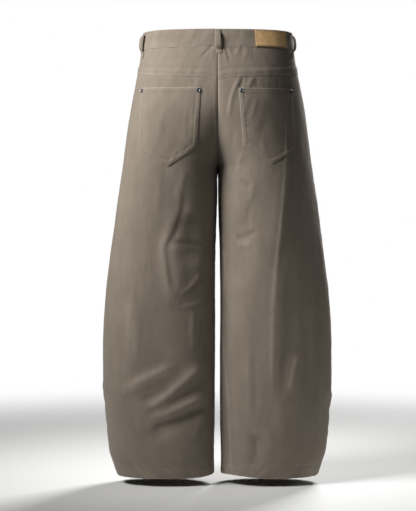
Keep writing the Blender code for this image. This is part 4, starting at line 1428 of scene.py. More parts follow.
@dataclass
class Stitching:
    """Rows of real stitches, gathered and then made into one object."""

    name: str
    pitch: float = 0.0033
    length: float = 0.0026
    thickness: float = 0.00030
    stretches: list[Array] = field(default_factory=list)

    def row(self, line: tuple[Array, Array]) -> None:
        """Sew a row of stitches.

        Args:
            line: The row's points and their outward directions.
        """
        points, ups = line
        if len(points) < 2:
            return
        lengths = np.linalg.norm(np.diff(points, axis=0), axis=1)
        along = np.concatenate([[0.0], np.cumsum(lengths)])
        middles = np.arange(0.5 * self.pitch, along[-1] - 0.4 * self.pitch, self.pitch)
        if not len(middles):
            return

        def read(values: Array, where: Array) -> Array:
            """Read points or directions at distances along the row."""
            return np.stack([np.interp(where, along, values[:, axis]) for axis in range(3)], axis=1)

        start = read(points, middles - 0.5 * self.length)
        end = read(points, middles + 0.5 * self.length)
        self.stretches.append(np.stack([start, end, read(ups, middles)], axis=1))

    def tack(self, start: Array, end: Array, up: Array, count: int, reach: float) -> None:
        """Sew a bar tack: close stitches across a short bar.

        Args:
            start: One end of the bar.
            end: The other end.
            up: The outward direction.
            count: How many stitches.
            reach: Half the length of each.
        """
        along = (end - start) / np.linalg.norm(end - start)
        across = np.cross(up, along)
        across /= np.linalg.norm(across)
        for part in np.linspace(0.0, 1.0, count):
            middle = start + (end - start) * part
            ends = [middle - across * reach, middle + across * reach + along * 0.0003, up]
            self.stretches.append(np.array(ends)[None])

    def made(self, material: bpy.types.Material) -> Optional[bpy.types.Object]:
        """Make the object.

        Args:
            material: The thread.

        Returns:
            The object, or None if no row was sewn.
        """
        if not self.stretches:
            return None
        sewn = np.concatenate(self.stretches)
        start, end, up = sewn[:, 0], sewn[:, 1], sewn[:, 2]
        up = up / np.linalg.norm(up, axis=1, keepdims=True)
        run = end - start
        across = np.cross(up, run)
        across /= np.maximum(np.linalg.norm(across, axis=1, keepdims=True), 1e-12)
        rings = ((0.16, 0.78, 0.25), (0.5, 1.0, 0.62), (0.84, 0.78, 0.25))
        sides = 6
        points = [start - up * 0.6 * self.thickness]
        for part, swell, lift in rings:
            for step in range(sides):
                angle = 2.0 * math.pi * step / sides
                points.append(start + run * part
                              + across * (math.cos(angle) * swell * 1.15 * self.thickness)
                              + up * ((math.sin(angle) * swell * 0.85 + lift) * self.thickness))
        points.append(end - up * 0.6 * self.thickness)
        faces = []
        for step in range(sides):
            after = (step + 1) % sides
            faces.append((0, 1 + after, 1 + step, 1 + step))
            for ring in (0, 1):
                low = 1 + ring * sides
                faces.append((low + step, low + after, low + sides + after, low + sides + step))
            last = 1 + 2 * sides
            faces.append((last + step, last + after, 1 + 3 * sides, 1 + 3 * sides))
        stacked = np.stack(points, axis=1)
        count = stacked.shape[1]
        every = []
        for number in range(len(stacked)):
            base = number * count
            every += [tuple(dict.fromkeys(base + corner for corner in face)) for face in faces]
        return MeshKit.piece(self.name, stacked.reshape(-1, 3), every, material, 80.0)


@dataclass
class Tailor:
    """What every sub-assembly needs: the cloth, the materials, and how a piece is handed over."""

    cloth: ClothSurface
    wardrobe: Wardrobe

    @staticmethod
    def hand_over(made: bpy.types.Object, node: str, slot: str) -> None:
        """Let a piece ride on the trousers in place of its solid.

        Args:
            made: The piece.
            node: The solid that it stands for.
            slot: Not used.
        """
        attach(made, "root")
        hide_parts(node)

    def sewn(self, stitching: Stitching) -> list[bpy.types.Object]:
        """Make a piece's stitching, riding with the trousers.

        Args:
            stitching: Its rows.

        Returns:
            A list that holds the object, or nothing if no row was sewn.
        """
        made = stitching.made(self.wardrobe.thread)
        if made is None:
            return []
        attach(made, "root")
        return [made]

    @staticmethod
    def report(made: bpy.types.Object, extras: Sequence[bpy.types.Object] = ()) -> None:
        """Log how many faces a piece and its stitching have."""
        sewn = sum(len(extra.data.polygons) for extra in extras)
        LOG.info("%s: %d faces, stitching %d", made.name, len(made.data.polygons), sewn)


@dataclass
class LegPanel:
    """A back panel, hem to yoke seam, or a front panel, hem to waist seam."""

    side: Side
    face: Face
    flat: tuple[float, float]
    area: float
    wall: float = 0.0015
    hem_wall: float = 0.0024
    hem_depth: float = 0.029
    hem_row: float = 0.0265
    seam_dip: float = 0.0009
    seam_reach: float = 0.0018
    felled: float = 0.0090
    felled_proud: float = 0.0006
    rows_in: tuple[float, float] = (0.0022, 0.0076)
    fly_width: float = 0.038
    fly_foot: float = 0.785
    pucker: SoftNoise = SoftNoise(51)
    rope: SoftNoise = SoftNoise(61)

    @property
    def node(self) -> str:
        """Give the name of the panel's solid."""
        return self.face.name.lower() + "_panel_" + self.side.name.lower()

    def fly_rise(self, x: Array, height: Array) -> Array:
        """Give how far the fly's facing lifts the left front panel.

        Args:
            x: Distance from the centre plane.
            height: Height above the hem.

        Returns:
            The lift in metres.
        """
        if self.face is not Face.FRONT or self.side is not Side.LEFT:
            return np.zeros_like(x)
        foot = self.fly_foot + 0.9 * np.maximum(x, 0.0) ** 2 / self.fly_width
        return 0.0009 * ease(self.fly_width + 0.002, self.fly_width - 0.002, x) * ease(
            foot - 0.004, foot + 0.004, height)

    def grid(self, cloth: ClothSurface) -> tuple[ClothGrid, dict[str, Array]]:
        """Lay the panel out.

        Args:
            cloth: The worn surface.

        Returns:
            The grid, and its distances from each edge by name.
        """
        form = cloth.form
        share = graded(0.42, 0.0040, 0.0011, (0.0, 0.0076, 0.42), 0.004)
        legs = graded(form.fork_height, 0.0042, 0.0013, (0.0, self.hem_row), 0.0035)
        rise = graded(0.2, 0.0027, 0.0011, (0.2,), 0.004)
        hem = form.hem(share)
        hip = YOKE_SEAM[-1].value
        if self.face is Face.BACK:
            hip = form.seam_along(self.side, self.face, share, False)
        hip = hip - 0.5 * form.seam_gap + 0.0 * share
        height = [hem + (form.fork_height - hem) * part for part in legs]
        if self.face is Face.FRONT:
            rise = graded(0.2, 0.0030, 0.0030, (), 0.004)
        height += [form.fork_height + (hip - form.fork_height) * part for part in rise[1:]]
        if self.face is Face.FRONT:
            waist = form.seam_along(self.side, self.face, share, True) - 0.5 * form.seam_gap
            height += [hip + (waist - hip) * part
                       for part in graded(0.045, 0.0028, 0.0011, (0.045,), 0.004)[1:]]
        height = np.array(height)
        turn = form.panel_turn(self.side, self.face, share[None, :], height)
        bare = form.point(self.side, turn, height)
        steps = np.linalg.norm(np.diff(bare, axis=1), axis=2)
        inner = np.concatenate([np.zeros((len(height), 1)), np.cumsum(steps, axis=1)], axis=1)
        edges = {"inner": inner, "outer": inner[:, -1:] - inner, "hem": height - hem,
                 "top": height[-1:] - height, "height": height,
                 "x": self.side.value * bare[..., 0], "turn": turn}
        arc = cloth.arc(self.side, self.face, turn, height)
        lift = cloth.rise(self.side, self.face, turn, height, inner)
        sewn = self.sewn_rise(cloth, edges, arc)
        proud = lift + sewn
        thick = self.hem_wall + (self.wall - self.hem_wall) * ease(
            self.hem_depth - 0.0005, self.hem_depth + 0.004, edges["hem"])
        outer = cloth.place(self.side, turn, height, proud)
        inside = cloth.place(self.side, turn, height, lift + np.minimum(sewn, 0.0) - thick)
        centre = ease(form.fork_height - 0.004, form.fork_height, height)
        outer = drawn_to_centre(outer, self.side, inner, centre)
        inside = drawn_to_centre(inside, self.side, inner, centre)
        lie = np.stack([arc, height, 0.0 * arc], axis=-1)
        # The grid's last field paints shade into the panel's creases and grooves, and its ridges paler as
        # wear.
        return ClothGrid(outer, inside, lie, self.wear_of(edges, arc), self.hollow_of(proud)), edges

    def sewn_rise(self, cloth: ClothSurface, edges: dict[str, Array], arc: Array) -> Array:
        """Give what the sewing does to the panel: grooves, felled seams, puckers and hem.

        Args:
            cloth: The worn surface.
            edges: Distances from each edge.
            arc: The way round from the outseam.

        Returns:
            The lift in metres.
        """
        height = edges["height"]
        inner, outer, hem = edges["inner"], edges["outer"], edges["hem"]
        rise = -self.seam_dip * bump_at(inner, 0.0, self.seam_reach)
        rise -= self.seam_dip * bump_at(outer, 0.0, self.seam_reach)
        below = ease(cloth.form.fork_height + 0.01, cloth.form.fork_height - 0.01, height)
        if self.face is Face.BACK:
            band = ease(self.felled + 0.0015, self.felled - 0.0005, inner) * ease(0.0, 0.0012, inner)
            sewn = below if self.side is Side.RIGHT else 1.0
            rise += self.felled_proud * band * sewn
            for row in self.rows_in:
                rise -= 0.00028 * bump_at(inner, row, 0.0011) * sewn
        ripple = self.pucker(3.7 + 0.0 * height, height / 0.0085)
        slow = self.pucker(9.1 + 0.0 * height, height / 0.019)
        rise += (0.00034 * ripple + 0.00030 * slow) * bump_at(inner, 0.004, 0.010)
        rise += (0.00026 * self.pucker(15.2 + 0.0 * height, height / 0.0120)
                 + 0.00034 * slow) * bump_at(outer, 0.0, 0.011)
        rope = self.rope(arc / 0.0075 + hem / 0.012, hem / 0.030)
        rise += 0.00042 * rope * ease(0.036, 0.020, hem)
        rise -= 0.00042 * bump_at(hem, self.hem_row, 0.0014)
        rise += 0.00030 * bump_at(hem, 0.012, 0.008)
        rise -= 0.0007 * bump_at(hem, 0.0, 0.0011)
        rise -= 0.0004 * bump_at(edges["top"], 0.0, 0.0012)
        return rise + self.fly_rise(edges["x"], height)

    def wear_of(self, edges: dict[str, Array], arc: Array) -> Array:
        """Give how rubbed the panel is: seam edges, hem edge and the roped hem.

        Args:
            edges: Distances from each edge.
            arc: The way round from the outseam.

        Returns:
            Wear from 0 to 1.
        """
        hem = edges["hem"]
        rope = self.rope(arc / 0.0075 + hem / 0.012, hem / 0.030)
        wear = 0.55 * bump_at(edges["inner"], 0.0010, 0.0022)
        wear = wear + 0.50 * bump_at(edges["outer"], 0.0018, 0.0026)
        wear = wear + 0.8 * bump_at(hem, 0.0, 0.0020)
        wear = wear + 0.28 * np.clip(rope, 0.0, 1.0) * ease(0.034, 0.022, hem)
        wear = wear + 0.25 * bump_at(hem, self.hem_row + 0.002, 0.0016)
        return np.clip(wear, 0.0, 1.0)

    @staticmethod
    def hollow_of(proud: Array) -> Array:
        """Give how far each place stands out of, or lies in, its surroundings, -1 to 1: the twill paints
        the low places darker as painted shade, and the high ones paler as rubbed wear.
        """
        return np.clip((proud - softened(proud, 24)) / 0.0012, -1.0, 1.0)

    def fly_row(self, cloth: ClothSurface, inset: float) -> tuple[Array, Array]:
        """Trace a row of the curved fly stitching.

        Args:
            cloth: The worn surface.
            inset: How far the row is inside the facing's edge.

        Returns:
            The row's points and their outward directions.
        """
        width = self.fly_width - inset
        swing = np.linspace(0.0, 0.5 * math.pi, 24)
        corner = 0.030
        down = np.linspace(0.925, self.fly_foot + inset + 0.040, 40)
        x = np.concatenate([np.full_like(down, width), width - corner * (1.0 - np.cos(swing[1:])),
                            [0.002]])
        height = np.concatenate([down, down[-1] - 0.040 * np.sin(swing[1:]),
                                 [down[-1] - 0.0412]])
        turn = cloth.form.turn_at_x(self.side, self.face, x, height)
        proud = cloth.rise(self.side, self.face, turn, height, x) + self.fly_rise(x, height)
        return (cloth.place(self.side, turn, height, proud + 0.0001),
                cloth.form.normal(self.side, turn, height))

    def build(self, tailor: Tailor) -> bpy.types.Object:
        """Make the panel and its stitching.

        Args:
            tailor: The shared cloth and materials.

        Returns:
            The panel.
        """
        grid, edges = self.grid(tailor.cloth)
        made = MeshKit.cloth(self.node + "_cloth", grid, tailor.wardrobe.twill)
        stitching = Stitching(self.node + "_stitching")
        stitching.row(grid.trace(edges["hem"], self.hem_row, False))
        fork = tailor.cloth.form.fork_height
        if self.face is Face.BACK:
            keep = edges["height"] < (fork - 0.004 if self.side is Side.RIGHT else 2.0)
            for row in self.rows_in:
                stitching.row(grid.trace(edges["inner"], row, True, keep))
        elif self.side is Side.LEFT:
            keep = (edges["height"] > fork + 0.006) & (edges["height"] < self.fly_foot - 0.004)
            for row in self.rows_in:
                stitching.row(grid.trace(edges["inner"], row, True, keep))
            stitching.row(grid.trace(edges["inner"], 0.002, True, edges["height"] > self.fly_foot))
            stitching.row(self.fly_row(tailor.cloth, 0.0))
            stitching.row(self.fly_row(tailor.cloth, 0.006))
        extras = tailor.sewn(stitching)
        tailor.hand_over(made, self.node, "twill")
        tailor.report(made, extras)
        return made


@dataclass
class Yoke:
    """A back yoke, its lower edge felled over the back panel."""

    side: Side
    flat: tuple[float, float]
    area: float
    wall: float = 0.0015
    band: float = 0.0175
    band_proud: float = 0.0009
    rows: tuple[float, ...] = (0.0020, 0.0066, 0.0160, 0.0222)
    rows_in: tuple[float, float] = (0.0022, 0.0076)
    pucker: SoftNoise = SoftNoise(71)

    @property
    def node(self) -> str:
        """Give the name of the yoke's solid."""
        return "yoke_" + self.side.name.lower()

    def build(self, tailor: Tailor) -> bpy.types.Object:
        """Make the yoke and its stitching.

        Args:
            tailor: The shared cloth and materials.

        Returns:
            The yoke.
        """
        cloth, form = tailor.cloth, tailor.cloth.form
        share = graded(0.24, 0.0023, 0.0010, (0.0, 0.0076, 0.24), 0.004)
        low = form.seam_along(self.side, Face.BACK, share, False) + 0.5 * form.seam_gap
        high = form.seam_along(self.side, Face.BACK, share, True) - 0.5 * form.seam_gap
        parts = graded(0.07, 0.0018, 0.0008, (0.0, 0.002, 0.0066, 0.016, 0.0222, 0.07), 0.0016)
        height = np.array([low + (high - low) * part for part in parts])
        turn = form.panel_turn(self.side, Face.BACK, share[None, :], height)
        bare = form.point(self.side, turn, height)
        steps = np.linalg.norm(np.diff(bare, axis=1), axis=2)
        inner = np.concatenate([np.zeros((len(height), 1)), np.cumsum(steps, axis=1)], axis=1)
        outer_edge = inner[:, -1:] - inner
        above = height - low[None, :]
        arc = cloth.arc(self.side, Face.BACK, turn, height)
        lift = cloth.rise(self.side, Face.BACK, turn, height, inner)
        sewn = -0.0009 * bump_at(inner, 0.0, 0.0018) - 0.0009 * bump_at(outer_edge, 0.0, 0.0018)
        sewn += self.band_proud * ease(self.band + 0.0015, self.band - 0.001, above)
        sewn += 0.00035 * bump_at(above, 0.0113, 0.0035)
        sewn -= 0.0007 * bump_at(above, 0.0, 0.0008)
        sewn -= 0.0004 * bump_at(high[None, :] - height, 0.0, 0.0012)
        for row in self.rows:
            ripple = self.pucker(arc / 0.0060, row / 0.004 + 0.0 * arc)
            sewn -= (0.00032 + 0.00016 * ripple) * bump_at(above, row, 0.0010)
        sewn += 0.00040 * self.pucker(arc / 0.0105, above / 0.030) * bump_at(above, 0.012, 0.014)
        if self.side is Side.LEFT:
            sewn += 0.0006 * ease(0.0105, 0.0085, inner) * ease(0.0, 0.0012, inner)
            for row in self.rows_in:
                sewn -= 0.00028 * bump_at(inner, row, 0.0011)
        wear = 0.75 * bump_at(above, 0.0006, 0.0014) + 0.5 * bump_at(inner, 0.0010, 0.0022)
        roped = np.clip(self.pucker(arc / 0.0070, above / 0.010), 0.0, 1.0)
        wear = wear + 0.25 * roped * ease(0.020, 0.016, above)
        outside = cloth.place(self.side, turn, height, lift + sewn)
        inside = cloth.place(self.side, turn, height, lift + np.minimum(sewn, 0.0) - self.wall)
        # The grid's last field paints shade into the yoke's creases and grooves, and its ridges paler as
        # wear.
        grid = ClothGrid(
            drawn_to_centre(outside, self.side, inner, np.ones_like(inner)),
            drawn_to_centre(inside, self.side, inner, np.ones_like(inner)),
            np.stack([arc * 0.96 + height * 0.28, height * 0.96 - arc * 0.28, 0.0 * arc], axis=-1),
            np.clip(wear, 0.0, 1.0), LegPanel.hollow_of(lift + sewn))
        made = MeshKit.cloth(self.node + "_cloth", grid, tailor.wardrobe.twill)
        stitching = Stitching(self.node + "_stitching")
        for row in self.rows:
            stitching.row(grid.trace(above, row, False))
        if self.side is Side.LEFT:
            for row in self.rows_in:
                stitching.row(grid.trace(inner, row, True, above > 0.024))
        extras = tailor.sewn(stitching)
        tailor.hand_over(made, self.node, "twill")
        tailor.report(made, extras)
        return made


@dataclass
class Waistband:
    """The waistband: one strip round the waist, its left end lapped over its right."""

    flat: tuple[float, float] = (0.959, 0.041)
    area: float = 0.0386
    width: float = 0.040
    wall: float = 0.0015
    proud: float = 0.0009
    lap_reach: float = 0.018
    lap_ramp: float = 0.032
    lap_lift: float = 0.0014
    rows: tuple[float, float] = (0.0021, 0.0378)
    pucker: SoftNoise = SoftNoise(83)

    def build(self, tailor: Tailor) -> bpy.types.Object:
        """Make the waistband and its stitching.

        Args:
            tailor: The shared cloth and materials.

        Returns:
            The waistband.
        """
        cloth, form = tailor.cloth, tailor.cloth.form
        parts = graded(self.width, 0.0021, 0.0007, (0.0, self.rows[0], self.rows[1], self.width), 0.0016)
        half = np.linspace(0.0, math.pi, 190)
        lap_turn = self.lap_reach / float(form.columns["half_width"](form.waist_side_height))
        under = -0.5 * math.pi + lap_turn * np.array([1.0, 0.97, 0.9, 0.75, 0.5, 0.25])
        right = -0.5 * math.pi - half
        runs = [(Side.RIGHT, np.concatenate([under, right])),
                (Side.LEFT, np.concatenate([right[::-1][1:], under[::-1]]))]
        outers, inners, lies, lifts, around, gone = [], [], [], [], [], 0.0
        for side, turns in runs:
            turn = np.broadcast_to(turns, (len(parts), len(turns)))
            rise = 0.5 * form.seam_gap + (self.width - 0.5 * form.seam_gap) * parts[:, None]
            height = form.waist_seam(side, turn) + rise
            x = side.value * form.point(side, turn, height)[..., 0]
            at_front = np.sin(turn) < 0.0
            lap = -side.value * self.lap_lift * at_front * (
                1.0 - ease(self.lap_reach, self.lap_reach + self.lap_ramp, x))
            wound = np.where(turn < -math.pi, turn + 2.0 * math.pi, turn)
            lift = np.where(wound >= 0.0, cloth.rise(side, Face.BACK, wound, height, np.abs(x)),
                            cloth.rise(side, Face.FRONT, wound, height, np.abs(x)))
            bare = form.point(side, turn, height)
            steps = np.linalg.norm(np.diff(bare, axis=1), axis=2)
            way = gone + np.concatenate([np.zeros((len(parts), 1)), np.cumsum(steps, axis=1)], axis=1)
            gone = float(way[:, -1].mean())
            edge = np.minimum(rise, self.width - rise) + 0.0 * turn
            sewn = -0.0007 * bump_at(edge, 0.0, 0.0009) - 0.00030 * bump_at(edge, self.rows[0], 0.0010)
            sewn += 0.00045 * self.pucker(way / 0.0100 + rise / 0.020, rise / 0.030)
            sewn += 0.00020 * bump_at(edge, 0.010, 0.008)
            outers.append(cloth.place(side, turn, height, lift + self.proud + lap + sewn))
            inners.append(cloth.place(side, turn, height, lift + lap - self.wall))
            lies.append(np.stack([height, way, 0.0 * way], axis=-1))
            lifts.append(lift + sewn)
            around.append(way)
        way = np.concatenate(around, axis=1)
        rise = self.width * np.broadcast_to(parts[:, None], way.shape)
        edge = np.minimum(rise, self.width - rise)
        wear = 0.75 * bump_at(edge, 0.0, 0.0013)
        wear = wear + 0.22 * np.clip(self.pucker(way / 0.0100 + rise / 0.020, rise / 0.030), 0, 1)
        # The grid's last field paints shade into the waistband's creases and grooves, and its ridges
        # paler as wear.
        grid = ClothGrid(np.concatenate(outers, axis=1), np.concatenate(inners, axis=1),
                         np.concatenate(lies, axis=1), np.clip(wear, 0.0, 1.0),
                         LegPanel.hollow_of(np.concatenate(lifts, axis=1)))
        made = MeshKit.cloth("waistband_cloth", grid, tailor.wardrobe.twill)
        stitching = Stitching("waistband_stitching")
        length = way.max()
        for row in self.rows:
            stitching.row(grid.trace(rise, row, False, way > self.lap_reach * 2.2))
        stitching.row(grid.trace(way, length - 0.0022, True))
        extras = tailor.sewn(stitching)
        tailor.hand_over(made, "waistband", "twill")
        tailor.report(made, extras)
        return made


@dataclass
class BeltLoop:
    """A belt loop: a folded strap sewn down at both ends, with a belt's room behind it."""

    name: str
    place: LoopPlace
    width: float = 0.012
    wall: float = 0.0016
    band_width: float = 0.040
    tail_proud: float = 0.0006
    marks: tuple[LoopMark, ...] = (
        LoopMark(0.0385, 0.0015), LoopMark(0.0320, 0.0016), LoopMark(0.0290, 0.0060),
        LoopMark(0.0240, 0.0084), LoopMark(0.0140, 0.0090), LoopMark(0.0050, 0.0084),
        LoopMark(-0.0010, 0.0060), LoopMark(-0.0045, 0.0012), LoopMark(-0.0065, 0.0006))

    def strap(self) -> tuple[Array, Array, Array]:
        """Give the strap's path with its corners rounded.

        Returns:
            The path of its inner face, the direction out of it, and the length along it.
        """
        path = np.array([*self.marks, LoopMark(-self.place.tail, self.tail_proud)])
        for _ in range(3):
            before = 0.75 * path[:-1] + 0.25 * path[1:]
            after = 0.25 * path[:-1] + 0.75 * path[1:]
            path = np.concatenate([path[:1], np.stack([before, after], axis=1).reshape(-1, 2)[1:-1],
                                   path[-1:]])
        along = np.concatenate([[0.0], np.cumsum(np.linalg.norm(np.diff(path, axis=0), axis=1))])
        even = graded(along[-1], 0.0011, 0.0005, (0.0, along[-1]), 0.001) * along[-1]
        path = np.stack([np.interp(even, along, path[:, axis]) for axis in (0, 1)], axis=1)
        run = np.gradient(path, axis=0)
        run /= np.linalg.norm(run, axis=1, keepdims=True)
        return path, np.stack([run[:, 1], -run[:, 0]], axis=1), even

    def build(self, tailor: Tailor) -> bpy.types.Object:
        """Make the loop and its stitching.

        Args:
            tailor: The shared cloth and materials.

        Returns:
            The loop.
        """
        cloth, form = tailor.cloth, tailor.cloth.form
        side, face = self.place.side, self.place.face
        level = np.array(form.waist_side_height + 0.5 * self.band_width)
        if self.place.x == 0.0:
            middle = face.value * form.centre_turn(level, 0.0)
        else:
            middle = form.turn_at_x(side, face, np.array(self.place.x), level)
        seam = form.waist_seam(side, middle)
        speed = np.linalg.norm(form.point(side, middle + form.step, seam)
                               - form.point(side, middle - form.step, seam)) / (2.0 * form.step)
        path, out, along = self.strap()
        across = (graded(self.width, 0.0013, 0.0004, (0.0, self.width), 0.0012) - 0.5) * self.width
        edge = 0.5 * self.width - np.abs(across)[None, :]
        ends = np.minimum(along, along[-1] - along)[:, None]
        thick = self.wall - 0.0006 * bump_at(edge, 0.0, 0.0007) - 0.0006 * bump_at(ends, 0.0, 0.0007)
        thick = thick - 0.00022 * bump_at(edge, 0.0024, 0.0008) + 0.00015 * bump_at(edge, 0.006, 0.003)
        turn = middle + across[None, :] / speed
        rest = cloth.rise(side, face, middle, seam)
        grids = []
        for push in (thick, 0.0 * thick):
            height = seam + path[:, :1] + out[:, :1] * push
            proud = path[:, 1:] + out[:, 1:] * push + rest
            grids.append(cloth.place(side, turn + 0.0 * push, height, proud))
        lie = np.stack([across[None, :] + 0.0 * ends, along[:, None] + 0.0 * edge, 0.0 * thick], axis=-1)
        wear = np.clip(0.8 * bump_at(edge, 0.0, 0.0010) + 0.6 * bump_at(ends, 0.0, 0.0012)
                       + 0.25 * bump_at(along[:, None], 0.5 * along[-1], 0.010), 0.0, 1.0)
        grid = ClothGrid(grids[0], grids[1], lie, wear, 0.0 * wear)
        made = MeshKit.cloth(self.name + "_cloth", grid, tailor.wardrobe.twill)
        stitching = Stitching(self.name + "_stitching", thickness=0.00026)
        inset = across[None, :] + 0.0 * ends
        for row in (-0.0036, 0.0036):
            stitching.row(grid.trace(inset, row, True))
        outward = grid.outward
        left, right = np.searchsorted(across, (-0.0046, 0.0046))
        for distance in (0.0022, along[-1] - 0.0022):
            row = int(np.argmin(np.abs(along - distance)))
            stitching.tack(grid.outer[row, left], grid.outer[row, right],
                           outward[row, len(across) // 2], 20, 0.0010)
        extras = tailor.sewn(stitching)
        tailor.hand_over(made, self.name, "twill")
        tailor.report(made, extras)
        return made


@dataclass
class BackPocket:
    """A patch pocket with a pointed bottom, its rows of stitching and its two rivets."""

    side: Side
    cut: PocketCut
    flat: tuple[float, float]
    area: float
    opening_rows: tuple[float, ...]
    wall: float = 0.0015
    laid: float = 0.0007
    rows: tuple[float, float] = (0.0021, 0.0110)
    rivet_radius: float = 0.0046
    rivet_height: float = 0.0019
    rivet_inset: float = 0.0065
    pucker: SoftNoise = SoftNoise(91)

    @property
    def node(self) -> str:
        """Give the name of the pocket's solid."""
        return "back_pocket_" + self.side.name.lower()

    def turns(self, cloth: ClothSurface, arc: Array, inset: Array, height: Array) -> Array:
        """Give the turns of places on the pocket.

        Args:
            cloth: The worn surface.
            arc: The way from the pocket's inner edge.
            inset: How far that edge stands off the centre plane.
            height: Height above the hem.

        Returns:
            The turns.
        """
        start = cloth.form.turn_at_x(self.side, Face.BACK, inset, height)
        return cloth.turn_at_arc(self.side, start, arc, height)

    def build(self, tailor: Tailor) -> bpy.types.Object:
        """Make the pocket, its stitching and its rivets.

        Args:
            tailor: The shared cloth and materials.

        Returns:
            The pocket.
        """
        cloth, form, cut = tailor.cloth, tailor.cloth.form, self.cut
        width = cut.top_width
        marks = (0.0, *self.rows, width - self.rows[1], width - self.rows[0], 0.5 * width, width)
        across = graded(width, 0.0024, 0.0007, marks, 0.0016)[None, :]
        down = graded(cut.tip_drop, 0.0024, 0.0007,
                      (0.0, *self.opening_rows, cut.tip_drop - 0.013, cut.tip_drop - 0.0025,
                       cut.tip_drop), 0.0018)[:, None]
        drop = cut.side_drop + (cut.tip_drop - cut.side_drop) * (1.0 - np.abs(2.0 * across - 1.0))
        fall = drop * down
        part = np.minimum(fall / cut.side_drop, 1.0)
        wide = cut.top_width + (cut.foot_width - cut.top_width) * part
        height = cut.top_height - fall
        turn = self.turns(cloth, wide * across, cut.from_centre + cut.slant * part, height)
        slope = (cut.tip_drop - cut.side_drop) / (0.5 * cut.foot_width)
        edges = {"near": across * wide, "far": (1.0 - across) * wide, "mouth": fall,
                 "foot": (drop - fall) / math.hypot(1.0, slope)}
        arc = cloth.arc(self.side, Face.BACK, turn, height)
        lift = cloth.rise(self.side, Face.BACK, turn, height)
        sewn = self.sewn_rise(edges, arc, height, across)
        base = lift + self.laid
        round_edge = np.minimum(np.minimum(edges["near"], edges["far"]), edges["foot"])
        wear = 0.75 * bump_at(round_edge, 0.0, 0.0015) + 0.8 * bump_at(edges["mouth"], 0.0, 0.0016)
        wear = wear + 0.22 * np.clip(self.pucker(arc / 0.006, height / 0.006), 0, 1) * ease(
            0.014, 0.010, round_edge)
        # The grid's last field paints shade into the pocket's creases and grooves, and its ridges paler
        # as wear.
        grid = ClothGrid(
            cloth.place(self.side, turn, height, base + self.wall + sewn),
            cloth.place(self.side, turn, height, base + np.minimum(sewn + 0.9 * self.wall, 0.0)),
            np.stack([arc * 0.995 + height * 0.1, height * 0.995 - arc * 0.1, 0.0 * arc], axis=-1),
            np.clip(wear, 0.0, 1.0), LegPanel.hollow_of(lift + sewn))
        made = MeshKit.cloth(self.node + "_cloth", grid, tailor.wardrobe.twill)
        extras = tailor.sewn(self.stitching(grid, edges))
        tailor.hand_over(made, self.node, "twill")
        tailor.report(made, extras)
        self.rivets(tailor)
        return made

    def sewn_rise(self, edges: dict[str, Array], arc: Array, height: Array, across: Array) -> Array:
        """Give what the sewing does to the pocket.

        Args:
            edges: Distances from each edge.
            arc: The way round from the outseam.
            height: Height above the hem.
            across: Share of the way across.

        Returns:
            The lift in metres.
        """
        round_edge = np.minimum(np.minimum(edges["near"], edges["far"]), edges["foot"])
        mouth = edges["mouth"]
        rise = -0.0011 * bump_at(round_edge, 0.0, 0.0010) - 0.0006 * bump_at(mouth, 0.0, 0.0008)
        rise += 0.0010 * np.sin(math.pi * across) * np.exp(-mouth / 0.016)
        ripple = self.pucker(arc / 0.0048 + 3.0, height / 0.0048)
        for row in self.rows:
            rise -= (0.00034 + 0.00014 * ripple) * bump_at(round_edge, row, 0.0010) * ease(
                0.0, 0.004, mouth)
        for row in self.opening_rows:
            rise -= (0.00030 + 0.00014 * ripple) * bump_at(mouth, row, 0.0010)
        rise += 0.00030 * bump_at(round_edge, 0.5 * sum(self.rows), 0.0032)
        rise += 0.00045 * ripple * bump_at(round_edge, 0.010, 0.006)
        rise += 0.00060 * self.pucker(arc / 0.030, height / 0.045 + 5.0) * ease(0.004, 0.030, round_edge)
        return rise

    def stitching(self, grid: ClothGrid, edges: dict[str, Array]) -> Stitching:
        """Sew the pocket's rows.

        Args:
            grid: The pocket's grid.
            edges: Distances from each edge.

        Returns:
            The rows.
        """
        sewn = Stitching(self.node + "_stitching")
        for row in self.rows:
            clear = edges["foot"] > row
            sewn.row(grid.trace(edges["near"], row, True, clear))
            sewn.row(grid.trace(edges["far"], row, True, clear))
            inside = (edges["near"] > row) & (edges["far"] > row)
            sewn.row(grid.trace(edges["foot"], row, False, inside))
        for row in self.opening_rows:
            inside = (edges["near"] > self.rows[0]) & (edges["far"] > self.rows[0])
            sewn.row(grid.trace(edges["mouth"], row, False, inside))
        return sewn

    def rivets(self, tailor: Tailor) -> None:
        """Stand a domed rivet in each upper corner.

        Args:
            tailor: The shared cloth and materials.
        """
        cloth, form, cut = tailor.cloth, tailor.cloth.form, self.cut
        radius, tall = self.rivet_radius, self.rivet_height
        profile = ((0.0, 0.80 * tall), (0.16 * radius, 0.86 * tall), (0.24 * radius, 0.66 * tall),
                   (0.50 * radius, 0.62 * tall), (0.66 * radius, 0.86 * tall), (0.78 * radius, tall),
                   (0.90 * radius, 0.86 * tall), (0.98 * radius, 0.45 * tall), (radius, 0.0))
        for place, inset in (("inner", self.rivet_inset), ("outer", cut.top_width - self.rivet_inset)):
            height = np.array(cut.top_height - self.rivet_inset)
            turn = self.turns(cloth, np.array(inset), np.array(cut.from_centre), height)
            proud = cloth.rise(self.side, Face.BACK, turn, height) + self.laid + self.wall
            name = "rivet_" + self.side.name.lower() + "_" + place
            made = Turned(profile).build(name + "_metal", tailor.wardrobe.gunmetal,
                                         cloth.place(self.side, turn, height, proud),
                                         form.normal(self.side, turn, height))
            tailor.hand_over(made, name, "gunmetal")
            tailor.report(made)


